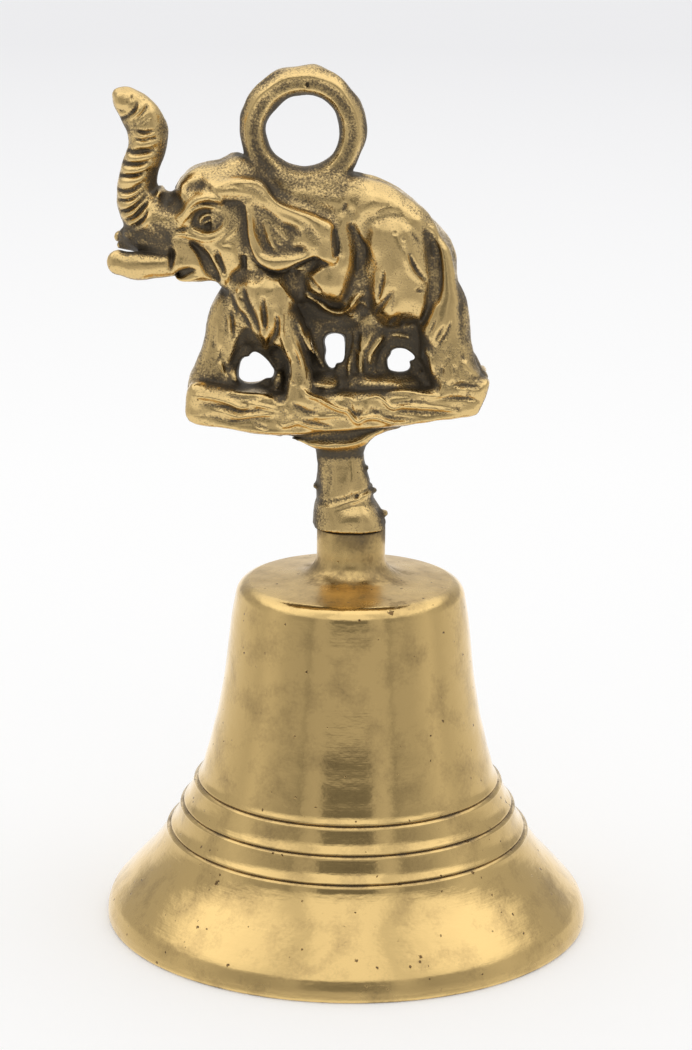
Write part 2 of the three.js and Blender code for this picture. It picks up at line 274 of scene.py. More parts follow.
def stroke(height, width, points, dirt=None, sides=SIDES, taper=True):
    """A rounded ridge, or with a negative height a groove, along a curve."""
    curve = catmull_rom(points, 6)
    low, high = curve.min(axis=0) - 3 * width, curve.max(axis=0) + 3 * width
    i = slice(*np.searchsorted(axis_x, (low[0], high[0])))
    k = slice(*np.searchsorted(axis_z, (low[1], high[1])))
    x, z = axis_x[i][:, None], axis_z[k][None, :]
    nearest = np.full((x.shape[0], z.shape[1]), 1e9, dtype=np.float32)
    place = np.zeros_like(nearest)
    spans = len(curve) - 1
    for index, ((ax, az), (bx, bz)) in enumerate(zip(curve, curve[1:])):
        ex, ez = bx - ax, bz - az
        t = np.clip(((x - ax) * ex + (z - az) * ez) / (ex * ex + ez * ez + 1e-9), 0, 1)
        squared = (x - ax - ex * t) ** 2 + (z - az - ez * t) ** 2
        closer = squared < nearest
        nearest = np.where(closer, squared, nearest)
        place = np.where(closer, (index + t) / spans, place)
    strength = np.sqrt(np.clip(4 * place * (1 - place), 0.02, 1)) if taper else 1.0
    shape = strength * np.exp(-nearest / (width * width * strength))
    for side in sides:
        relief[side][i, k] += height * shape
    add_dirt(i, k, dirt, height, shape)


def patch(height, edge, outline, dirt=None):
    """A raised or sunken area with soft edges. One with no height is only dirt."""
    points = catmull_rom(outline, 4, closed=True)
    low, high = points.min(axis=0) - edge, points.max(axis=0) + edge
    i = slice(*np.searchsorted(axis_x, (low[0], high[0])))
    k = slice(*np.searchsorted(axis_z, (low[1], high[1])))
    distance = outline_distance(points, axis_x[i][:, None], axis_z[k][None, :])
    t = np.clip(0.5 - distance / edge, 0, 1)
    shape = t * t * (3 - 2 * t)
    for side in SIDES:
        relief[side][i, k] += height * shape
    add_dirt(i, k, dirt, height, shape)


def pillow(height, width, outline):
    """A crowned form that rises from its outline to a height over about this width."""
    points = catmull_rom(outline, 4, closed=True)
    low, high = points.min(axis=0), points.max(axis=0)
    i = slice(*np.searchsorted(axis_x, (low[0], high[0])))
    k = slice(*np.searchsorted(axis_z, (low[1], high[1])))
    inside = np.maximum(-outline_distance(points, axis_x[i][:, None], axis_z[k][None, :]), 0)
    crown = height * (1 - np.exp(-inside / width))
    for side in SIDES:
        relief[side][i, k] = np.maximum(relief[side][i, k], crown)


def mirrored(shape, centre_or_stations, *rest, **more):
    """The same shape on both sides of the casting."""
    values = np.array(centre_or_stations, dtype=float)
    shape(values, *rest, **more)
    flipped = values.copy()
    flipped[..., 1] *= -1
    shape(flipped, *rest, **more)


def sculpt_stem():
    """The short post that stands on the bell's neck, and the bracket that spreads under the ground."""
    heights = np.array([63.8, 65.5, 67, 68, 69.5, 71.5, 74, 75.5, 79], dtype=np.float32)
    left = np.array([-5.0, -5.0, -4.9, -4.6, -4.6, -4.65, -4.45, -4.6, -5.4], dtype=np.float32)
    right = np.array([6.3, 5.9, 5.0, 4.4, 4.2, 3.7, 3.0, 2.7, 3.4], dtype=np.float32)

    def distance(x, y, z):
        a, b = np.interp(z, heights, left), np.interp(z, heights, right)
        half = (b - a) / 2
        u, v = np.abs(x - (a + b) / 2), np.abs(y)
        corner = (np.maximum(u, 0) ** 3 + np.maximum(v, 0) ** 3 + 1e-6) ** (1 / 3)
        return np.maximum(corner - half, np.maximum(heights[0] - z, z - 80))

    add_shape(distance, (-6, -6.5, 62.6), (7, 6.5, 80), 0.3)
    bracket = [
        (-12.6, 80), (-9.6, 78.9), (-6.4, 77.9), (-3.9, 76.9), (2, 77), (4.4, 78.9), (8.4, 81), (0, 84),
    ]
    prism(bracket, 4.6, 1.2, blend=0.8)
    for x, z, size in [
        (3.2, 73.2, 0.5), (4.2, 69.6, 0.7), (5.8, 65.9, 0.8), (5.8, 64.7, 0.5), (-4.7, 70.2, 0.5),
    ]:
        ball((x, -0.8, z), (size, 1.2, size * 0.7), blend=0.6)


def sculpt_ground():
    slab = [
        (-23.9, 81.5), (-20, 80.6), (-14, 79.8), (-9, 79.4), (-3, 79.8), (4, 80.4), (10, 81.2),
        (18.6, 82.2), (20.4, 83.4), (21.3, 86), (21.2, 88), (17, 87.6), (8, 86.2), (-8, 86), (-20, 86.8),
        (-23.4, 87), (-24.4, 84),
    ]
    prism(slab, 6.8, 1.6, blend=0.6)
    web = [
        (-19, 100), (-21.2, 94), (-22.4, 89.6), (-23.4, 86), (-18, 83), (16, 83), (21, 86.6), (20.4, 89.6),
        (18.6, 92.4), (18.2, 96), (14, 101), (0, 102), (-12, 102),
    ]
    prism(web, 2.0, 1.2, blend=1.2)
    mounds = [
        ((-3.4, -2.0, 86.6), (2.8, 2.2, 1.9)), ((2, -2.2, 86.8), (2.4, 1.8, 1.5)),
        ((8.2, -2, 86.2), (5, 2, 1.7)), ((12.8, -2, 88), (1.6, 1.6, 3.2)),
        ((-10.4, -2, 87), (1.6, 1.8, 2.4)), ((-17.2, -2, 87.4), (1.8, 2, 2.4)),
    ]
    for centre, radii in mounds:
        mirrored(ball, centre, radii, blend=1.4)


def sculpt_legs():
    near_front = [
        (-11, -2.6, 101, 4.2), (-9.8, -3.3, 97, 3.3), (-8.5, -3.9, 93.6, 2.5), (-7.4, -4.3, 90.6, 2.0),
        (-7.2, -4.6, 88, 2.0), (-7, -4.8, 85.4, 2.4),
    ]
    near_hind = [(14.2, -2.0, 99, 4), (14.9, -2.7, 94, 3.7), (15.8, -3.1, 90, 3.7), (17, -3.2, 87, 3.7)]
    far_front = [
        (-14.6, 1, 100.6, 4), (-17.2, 0.4, 96.6, 3.7), (-18.6, 0.2, 92.5, 3.3), (-19.8, 0.2, 88.5, 3.3),
        (-20.6, 0.2, 86, 3.3),
    ]
    far_hind = [(3, 1, 98, 4), (3.6, 0.4, 94, 2.9), (3.2, 0.4, 90, 2.6), (2.4, 0.4, 86, 2.8)]
    for leg in (near_front, near_hind, far_front, far_hind):
        limb(leg, blend=1.0)
    for leg in (far_front, far_hind):
        outer = np.array(leg) + (0, 2.6, 0, -0.5)
        limb(outer, blend=1.0)


def sculpt_body():
    torso = [
        (-17.6, 103), (-16.6, 110), (-13, 116.6), (-7, 117.6), (1.5, 118.2), (6, 116.7), (10, 114.4),
        (13, 111.4), (15.2, 107.8), (16.6, 104), (17.5, 100), (17.9, 96), (14, 96), (10, 97), (6, 96.6),
        (3, 98.2), (0, 98), (-4, 99.4), (-8, 98.4), (-12, 97), (-17.4, 99),
    ]
    prism(torso, 5.2, 4.0, blend=1.6)
    mirrored(ball, (-12.4, -1.8, 99), (4.6, 4.0, 8.0), blend=2.0)
    tail = [
        (12.4, -2.6, 110, 1.0), (14.6, -3.4, 106, 1.4), (15.1, -4.2, 101, 1.5), (13.9, -4.7, 97.2, 1.8),
        (13.2, -4.8, 95, 1.6),
    ]
    mirrored(limb, tail, blend=1.2)
    haunch = [
        (3.7, 99), (3.7, 104), (3.3, 106.6), (2.8, 109), (3.4, 111.8), (6.4, 113), (9.4, 112), (11, 109.8),
        (11.7, 107), (12, 103.6), (11.9, 100), (11.5, 97.6), (10.2, 96.2), (8.6, 95.4), (7, 95.2),
        (5.4, 95.5), (4.3, 97),
    ]
    pillow(2.5, 2.2, haunch)
    pillow(-0.5, 1.6, [(4.6, 110.6), (7.4, 109.8), (8.6, 105.6), (8, 102), (6.2, 102.6), (5, 106)])
    back = [
        (1.2, 111.6), (1.4, 114.6), (4, 117), (8, 115.2), (11.6, 112), (9.6, 111.2), (6, 113.4), (3, 112.6),
    ]
    pillow(0.9, 1.2, back)
    side_band = [
        (-4.6, 112), (-2, 113.6), (0.2, 113), (0.7, 110), (1.1, 107), (0.9, 104), (-1.4, 103.6),
        (-4.6, 106),
    ]
    pillow(1.4, 1.5, side_band)
    flank = [
        (-4.6, 107.4), (-2, 108), (0.4, 107.8), (1, 106.6), (1.1, 105.2), (0.5, 103.4), (-0.2, 101.2),
        (-0.8, 99.8), (-1.8, 99.2), (-3.4, 99.5), (-4.8, 100.4), (-5.9, 101.6), (-6.1, 103), (-5.7, 104.6),
        (-4.8, 106),
    ]
    pillow(2.0, 1.1, flank)
    upper_arm = [
        (-15.5, 103), (-13.4, 104.4), (-10.4, 103.8), (-9.2, 101.8), (-8.3, 99.6), (-8.6, 97.4),
        (-9.6, 94.6), (-10.8, 92.4), (-12, 92.8), (-13.6, 95.2), (-14.8, 98), (-15.6, 100.6),
    ]
    pillow(0.7, 1.4, upper_arm)


def sculpt_head():
    skull = [
        (-28.6, 116.4), (-27.2, 115.1), (-25.9, 116.2), (-24.4, 118.6), (-22, 119.8), (-19.4, 120.4),
        (-16.6, 121.6), (-12, 118.4), (-11, 108), (-15, 103.4), (-20, 105), (-26, 108.6), (-30.6, 109.2),
        (-31.6, 113),
    ]
    prism(skull, 5.2, 3.6, blend=1.6)
    jaw = [
        (-26.2, 108), (-26.3, 104), (-25.4, 102.5), (-23, 102.3), (-20, 102.2), (-18.6, 101.2), (-14, 101),
        (-12, 106), (-18, 110),
    ]
    prism(jaw, 4.3, 2.2, blend=0.8)
    trunk = [
        (-28.4, 0, 112, 3.9), (-30.8, 0, 112.6, 3.5), (-31.7, 0, 115.2, 3.15), (-31.3, 0, 118.6, 2.95),
        (-30.2, 0, 122, 2.8), (-30.3, 0, 125.4, 2.95), (-31.6, 0, 127.6, 2.75), (-33, 0, 129, 2.1),
        (-34.2, 0, 130, 0.95),
    ]
    limb(trunk, blend=0.8)
    near_tusk = [
        (-25.2, -2.8, 105.2, 1.9), (-28, -3.0, 105, 2.0), (-31.6, -3.0, 104.9, 2.1),
        (-34.2, -2.8, 105.3, 1.85),
    ]
    far_tusk = [(-28.4, 1.6, 107.6, 1.2), (-32, 2.0, 108, 1.1), (-34.6, 2.2, 108.4, 0.9)]
    mouth = [
        (-33.4, 0.2, 108.9, 1.3), (-31, -0.6, 108.8, 2.3), (-28.4, -1.0, 108.4, 2.9),
        (-25.6, -1, 107.8, 3.2),
    ]
    limb(mouth, blend=1.0)
    limb([(-34.4, 0.4, 107.4, 0.7), (-32, 0, 107.5, 1.2), (-28, -0.4, 107.2, 2.2)], blend=0.6)
    lips = [
        ((-32.6, -1.2, 109.4), (1.2, 1.5, 0.8)), ((-30.2, -2.4, 108.6), (1.6, 1.3, 0.9)),
        ((-28, -2.8, 109.8), (1.3, 1.4, 1.2)),
    ]
    for centre, radii in lips:
        mirrored(ball, centre, radii, blend=0.4)
    limb(near_tusk, blend=0.25)
    limb(far_tusk, blend=0.25)


def sculpt_ears():
    ear = [
        (-19.2, 116.6), (-17, 118.1), (-14.2, 118.5), (-12.4, 117.7), (-10.6, 115.4), (-8, 114.3),
        (-5, 113.2), (-3, 112), (-2.3, 110), (-2.5, 107.2), (-5, 106.9), (-7, 106), (-9, 105), (-11, 104.7),
        (-13.2, 105.9), (-14.3, 108), (-14.9, 110.5), (-14.9, 113), (-15.6, 115.2), (-18.6, 115.7),
    ]
    for side in SIDES:
        prism(ear, 2.0, 0.7, blend=0.4, y=5.2 * side)
    mirrored(ball, (-18.4, -4.9, 117.1), (3.2, 2.0, 1.5), blend=1.4)


RING_X = 6.7  # to the left of the Z axis
RING_Z = 125.0
RING_RADII = np.array([5.45, 6.0, 6.5, 6.9, 7.6, 8.2, 8.5, 9.65], dtype=np.float32)
RING_DEPTHS = np.array([1.0, 1.9, 2.4, 2.35, 2.3, 2.6, 2.55, 0.9], dtype=np.float32)  # at those radii
RING_EDGE_DIRT = 0.2
RING_TROUGH_DIRT = 0.38
RING_HOLE_DIRT = 0.42


def sculpt_ring():
    """The hanging ring: a bevel outside, a shallow trough round each face, and an uneven outline."""

    def distance(x, y, z):
        turn = np.arctan2(z - RING_Z, x + RING_X)
        uneven = 0.09 * np.sin(3 * turn + 1) + 0.06 * np.sin(7 * turn + 4) + 0.04 * np.sin(12 * turn)
        radius = np.sqrt((x + RING_X) ** 2 + (z - RING_Z) ** 2)
        radius = radius + uneven * np.clip(radius / 2 - 3.5, 0.15, 1)
        face = (np.abs(y) - np.interp(radius, RING_RADII, RING_DEPTHS)) * 0.8
        rim = np.maximum(RING_RADII[0] - radius, radius - RING_RADII[-1])
        return -smooth_min(-face, -rim, 0.5)

    prism([
        (-15.6, 117.6), (-11.6, 119.4), (-6.7, 119), (-2.6, 119.2), (1.6, 118), (-2, 114), (-12, 114),
    ], 3.4, 1.8)
    add_shape(distance, (-17, -3.4, 114.6), (3.6, 3.4, 135.3), 0.9)


def sculpt_openings():
    front = [
        (-16.6, 89.4), (-16.3, 90.8), (-15.6, 91.4), (-15.1, 91.4), (-14.6, 92), (-14, 92.2), (-13.3, 91.9),
        (-12.3, 91), (-11.5, 90.1), (-11, 89.2), (-11.4, 88.1), (-12.3, 88), (-13.2, 87.5), (-14.4, 87.2),
        (-15.7, 87.3), (-16.5, 88),
    ]
    middle = [
        (-3.7, 93.6), (-3.5, 94.5), (-2.9, 95), (-1.8, 95.2), (-0.6, 94.9), (-0.2, 94.2), (-0.2, 92.6),
        (-0.3, 91.3), (-0.7, 90.5), (-1.5, 90.3), (-1.8, 89.7), (-2.3, 89.5), (-2.9, 90), (-3.4, 91),
        (-3.4, 92.4),
    ]
    rear = [
        (6.1, 91.2), (6.6, 91.8), (6.8, 92.4), (7.6, 92.8), (8.6, 92.7), (9.6, 92.2), (10.4, 91.5),
        (10.2, 91), (9.5, 90.8), (9.7, 90.1), (9.4, 89.4), (8.5, 89.1), (7.2, 89.1), (6.4, 89.4),
        (6.1, 90.2),
    ]
    for outline in (front, middle, rear):
        pierce(outline, 0.2, -5.0)


def carve_face():
    """Forehead and brow, the eye, and the folds of the cheek and jaw."""
    patch(0, 1.6, [
        (-26, 118), (-24, 119.4), (-20, 119.9), (-14, 120), (-14, 122), (-20, 122), (-27, 120),
    ], dirt=0.24)
    patch(-0.35, 1.2, [
        (-24, 116.6), (-23.4, 117.5), (-21.6, 117.8), (-19.4, 117.3), (-19, 116.6), (-21.4, 116.9),
    ], dirt=0.3)
    patch(-0.6, 1.2, [
        (-27.8, 115.4), (-26, 115.6), (-25, 115.1), (-24.4, 114.2), (-24.8, 113.3), (-26, 112.9),
        (-27, 113.2),
    ], dirt=0.4)
    patch(-0.4, 1.4, [
        (-29, 115.4), (-27.6, 114.8), (-26.6, 113), (-25.4, 111.2), (-26.4, 110), (-28.4, 110.4),
        (-29.2, 112.6),
    ], dirt=0.35)
    stroke(0.3, 0.7, [(-25, 117.8), (-24.8, 116.4), (-24.6, 115.2)])
    patch(-0.6, 0.8, [
        (-23.4, 111.2), (-23, 112.5), (-22, 113.5), (-20.8, 113.7), (-19.3, 113.3), (-18.5, 112.8),
        (-18.7, 111.8), (-19.3, 110.9), (-20.5, 110.5), (-21.9, 110.7),
    ], dirt=0.5)
    stroke(1.2, 0.8, [
        (-25.6, 112.1), (-24.6, 113.1), (-23.5, 114.4), (-22.4, 115.3), (-20.9, 115.7), (-19.4, 115.4),
        (-18.3, 114.6),
    ])
    stroke(-0.35, 0.2, [
        (-24.9, 112.2), (-23.9, 113.3), (-22.7, 114.4), (-21, 114.8), (-19.4, 114.5),
    ], dirt=0.3)
    stroke(0.5, 0.32, [
        (-25.1, 111.3), (-24.2, 112.4), (-23.2, 113.6), (-21.8, 114.3), (-20.2, 114.2), (-18.9, 113.7),
    ])
    stroke(0.6, 0.35, [
        (-18.1, 112.8), (-18.4, 111.7), (-19.1, 110.8), (-20.2, 110.2), (-21.6, 110), (-23.2, 110.5),
    ])
    stroke(0.5, 0.42, [
        (-17.8, 111.9), (-18.4, 110.5), (-19.6, 109.6), (-21.4, 109.2), (-23.4, 109.6), (-25, 109.9),
        (-26.4, 109.3),
    ])
    stroke(0.7, 0.3, [(-22, 111.4), (-21.9, 112.3), (-21.1, 112.9), (-20.2, 112.9), (-19.3, 112.5)])
    stroke(0.45, 0.25, [(-21.6, 111.3), (-20.9, 112), (-20.1, 112.1)])
    stroke(-0.4, 0.25, [(-21.4, 111.1), (-20.7, 111.5), (-19.7, 111.7)])
    stroke(-0.5, 0.35, [(-25.8, 110.4), (-24.6, 110.7), (-23.5, 111.1)])
    patch(-0.35, 1.0, [
        (-18.4, 115.7), (-15.4, 116), (-14.4, 114.2), (-15.2, 112), (-16.4, 112.2), (-17.4, 113),
    ], dirt=0.35)
    stroke(-0.7, 0.35, [(-18.1, 115.3), (-17, 115.4), (-15.6, 115.5)])
    stroke(-0.7, 0.6, [
        (-15.6, 114), (-15.7, 112), (-15.6, 109.6), (-15.5, 107.4), (-15.3, 105.2),
    ], taper=False)
    patch(0, 0.8, [(-18.6, 109.8), (-17.4, 110.8), (-16.4, 112), (-17.4, 112.4), (-18.2, 111)], dirt=0.3)
    stroke(0.4, 0.3, [(-15.9, 111.6), (-16.8, 110.7), (-17.8, 109.8), (-18.9, 108.7)])
    patch(0.4, 1.3, [
        (-26.1, 109), (-24, 108.7), (-23, 107.6), (-22.4, 106), (-22.4, 104.8), (-25.4, 105), (-25.6, 107),
    ])
    patch(-0.75, 0.9, [
        (-23.6, 108.6), (-22.2, 108), (-21, 106.9), (-20.1, 105.4), (-19.4, 104), (-19.2, 102.8),
        (-20.4, 103.2), (-21.4, 104), (-22, 105.6), (-22.6, 107),
    ], dirt=0.5)
    stroke(0.45, 0.28, [(-21.4, 108.3), (-20.5, 107), (-19.9, 105.7), (-19.2, 104.2)])
    patch(0.5, 1.3, [
        (-19.2, 108.4), (-17.2, 108.2), (-16.5, 106.8), (-16.4, 105.2), (-17.2, 104), (-18.2, 102.8),
        (-18.9, 102.9), (-19.2, 105),
    ])
    patch(-0.5, 0.6, [
        (-20.1, 107.6), (-19.3, 107.6), (-18.8, 106.2), (-18.3, 104.6), (-18.2, 103.8), (-18.8, 104),
        (-19.3, 105.4),
    ], dirt=0.4)
    patch(-0.7, 0.6, [
        (-25.8, 103.7), (-25, 104.4), (-23.8, 104.7), (-22.8, 104.4), (-23.6, 103.8), (-25.2, 103.1),
    ], dirt=0.6)
    stroke(0.4, 0.35, [(-26, 103.1), (-25, 102.6), (-23.6, 102.8), (-22.2, 103.3)])
    stroke(-0.8, 0.4, [(-26.5, 107.8), (-26.4, 106.4), (-26.6, 104.2)], dirt=0.9)
    patch(-0.3, 1.2, [
        (-17.6, 103.8), (-15, 104.8), (-12.6, 104.4), (-13, 103), (-15.6, 102.6), (-17.4, 102.4),
    ], dirt=0.3)


def carve_trunk():
    """Folds across the trunk, steeper towards its root, and the creases behind its tip."""
    folds = [
        [(-34.8, 118.1), (-33.4, 118.3), (-31.6, 118.5), (-30.2, 119.1)],
        [(-34.4, 120.3), (-33, 120.1), (-31.2, 120.2), (-29.6, 120.6)],
        [(-33.4, 122), (-31.8, 121.9), (-30.4, 122.1), (-28.8, 122.2)],
        [(-32, 123.9), (-30.6, 123.8), (-29.6, 124), (-28.4, 124.1)],
        [(-31.6, 125.2), (-30.4, 124.9), (-28.8, 125.2)],
        [(-34.6, 116.2), (-33.4, 116), (-32, 116.4), (-30.6, 117.4)],
        [(-34.6, 114.6), (-33.4, 114.7), (-32, 115.2), (-30.4, 116.4)],
        [(-34.2, 112.9), (-32.8, 113.3), (-31.4, 114.4), (-30.2, 115.6)],
        [(-33.4, 111.7), (-32, 112.4), (-30.8, 113.6), (-30, 114.6)],
        [(-32.4, 110.8), (-31.2, 111.6), (-30.2, 112.6), (-29.8, 113.8)],
    ]
    for index, fold in enumerate(folds):
        lower = [(x, z - 0.85) for x, z in fold]
        stroke(0.32, 0.42, lower)
        stroke(-0.62, 0.22 + 0.07 * (index % 3), fold, dirt=0.62)
    stroke(-0.6, 0.32, [
        (-31.4, 129.4), (-31.7, 128.3), (-32.5, 127.5), (-33.5, 126.9), (-34.2, 126.4),
    ], dirt=0.8)
    stroke(-0.3, 0.22, [(-34.3, 128.2), (-33.6, 128), (-32.8, 128.1)])
    stroke(-0.3, 0.16, [(-32.2, 130.4), (-32.4, 129.4)])
    stroke(-0.35, 0.22, [(-32.6, 126.4), (-31.4, 127), (-30.2, 128.2), (-29.8, 129)])
    stroke(-0.3, 0.2, [(-32.2, 125.8), (-30.8, 126.3), (-29.4, 127.4)])
    stroke(0.35, 0.45, [(-32.8, 127), (-31.4, 127.8), (-30.6, 129.2)])
    patch(0.35, 1.0, [
        (-34.8, 130.6), (-33.6, 131), (-32.6, 130.2), (-32.8, 128.9), (-34, 128.7), (-34.8, 129.4),
    ])
    patch(0, 1.4, [
        (-28, 117), (-30, 117.6), (-29.8, 120.4), (-29, 123), (-28.4, 126.4), (-26.6, 125), (-27, 120),
    ], dirt=0.3)
    patch(0, 1.0, [
        (-33.6, 126.2), (-31.8, 127), (-29.9, 126.8), (-29.6, 125.3), (-31.4, 124.6), (-33, 124.6),
    ], dirt=0.42)
    patch(-0.2, 1.2, [(-30, 119), (-28.6, 119.4), (-28.2, 117.2), (-28.8, 115.6), (-29.8, 116.4)], dirt=0.4)
    patch(0, 1.4, [
        (-35, 109.8), (-33.6, 110.8), (-31, 111.2), (-28.4, 112.6), (-27, 111), (-26.4, 109.4),
        (-26.4, 106.2), (-30, 106.6), (-34.4, 106.8),
    ], dirt=0.62)
    stroke(0, 0.6, [(-34.4, 106.9), (-31, 106.8), (-27, 107)], dirt=0.4)
    stroke(0.4, 0.4, [(-30.6, 110.6), (-30, 111.8), (-29.8, 113.2)])


def carve_ears():
    """The ear's rolled upper border, its flat lower border, and the hollow with folds between them."""
    band = [
        (-20.2, 117.6), (-17, 119), (-14, 118.9), (-12.2, 117.8), (-10.8, 116), (-9, 114.9), (-6, 113.9),
        (-3.8, 113), (-2.6, 111.4), (-2.4, 109), (-2.6, 107.2), (-5.4, 107.1), (-6.4, 108.2), (-6.9, 110),
        (-7.2, 111.2), (-9.4, 112.8), (-11.6, 114.4), (-14, 115.8), (-17, 116), (-19.6, 116),
    ]
    pillow(0.8, 1.5, band)
    rim = [
        (-15, 113.8), (-15, 110.6), (-14.6, 108.2), (-13.4, 105.9), (-11, 104.6), (-9, 104.9), (-7, 106),
        (-4.4, 106.9), (-5.6, 108), (-6.6, 107.2), (-10.4, 107.1), (-12.4, 107.4), (-13.6, 109.2),
        (-14.1, 111.6), (-14.3, 113.8),
    ]
    pillow(0.35, 0.6, rim)
    patch(-0.7, 1.7, [
        (-14.2, 114.4), (-13, 114.6), (-11.8, 114.2), (-10.8, 113.2), (-9.4, 112.3), (-7.8, 111.4),
        (-7.1, 110.4), (-7.8, 109.6), (-7.9, 108.8), (-6.8, 108.5), (-6.5, 107.6), (-9, 107.2),
        (-11.6, 107.2), (-13, 107.9), (-13.9, 109.8),
    ], dirt=0.42)
    stroke(-0.45, 0.6, [
        (-19.4, 116.9), (-17.4, 117.6), (-15.2, 117.5), (-13.2, 116.8), (-11.6, 115.2), (-9.8, 113.8),
        (-7.6, 112.8), (-6, 111.8), (-4.7, 110.2), (-3.9, 108.6),
    ], dirt=0.1)
    stroke(-0.3, 0.5, [(-13.2, 113.6), (-13, 111.4), (-12.6, 109.6), (-11.9, 108)], dirt=0.45)
    stroke(-0.3, 0.5, [(-12.8, 114), (-11.6, 113.4), (-10.2, 112.4)], dirt=0.45)
    stroke(-0.25, 0.4, [(-9.8, 111.9), (-8.6, 111.3), (-7.5, 110.8)], dirt=0.4)
    stroke(-0.25, 0.4, [(-8, 108.1), (-7.2, 108), (-6.7, 107.7)], dirt=0.35)
    stroke(0.4, 0.35, [(-14.3, 113.2), (-14.2, 111.8), (-14, 110.4), (-13.4, 108.8), (-12.6, 107.6)])
    stroke(0.5, 0.3, [(-12.2, 112.1), (-11.9, 110.8), (-11.5, 109.4), (-10.9, 108.3), (-10.3, 107.6)])
    stroke(0.35, 0.4, [(-11, 111.9), (-10.2, 111), (-9.4, 110.1), (-8.8, 109.2)])
    stroke(0.25, 0.25, [(-10.9, 110.4), (-10.4, 109.4), (-9.8, 108.6)])
    patch(-0.5, 0.6, [
        (-2.3, 111), (-1.6, 110.8), (-1.2, 109), (-1.3, 107.4), (-2, 107), (-2.4, 108.4),
    ], dirt=0.5)
    stroke(-0.3, 0.6, [(-6.6, 111.4), (-5.4, 110.2), (-4.6, 108.8)], dirt=0.12)
    stroke(-0.5, 0.22, [
        (-14.8, 107.6), (-13.6, 105.7), (-12, 104.7), (-10.1, 104.3), (-8.5, 104.7), (-7, 105.6),
        (-5.4, 106.4), (-3.6, 106.6),
    ], dirt=0.4)
    stroke(-0.4, 0.9, [
        (-12.2, 119.4), (-11.2, 117.6), (-9.6, 116), (-7.4, 115.1), (-5, 114.5), (-3, 113.5), (-1.8, 112.1),
        (-1.9, 110.8),
    ], dirt=0.18)


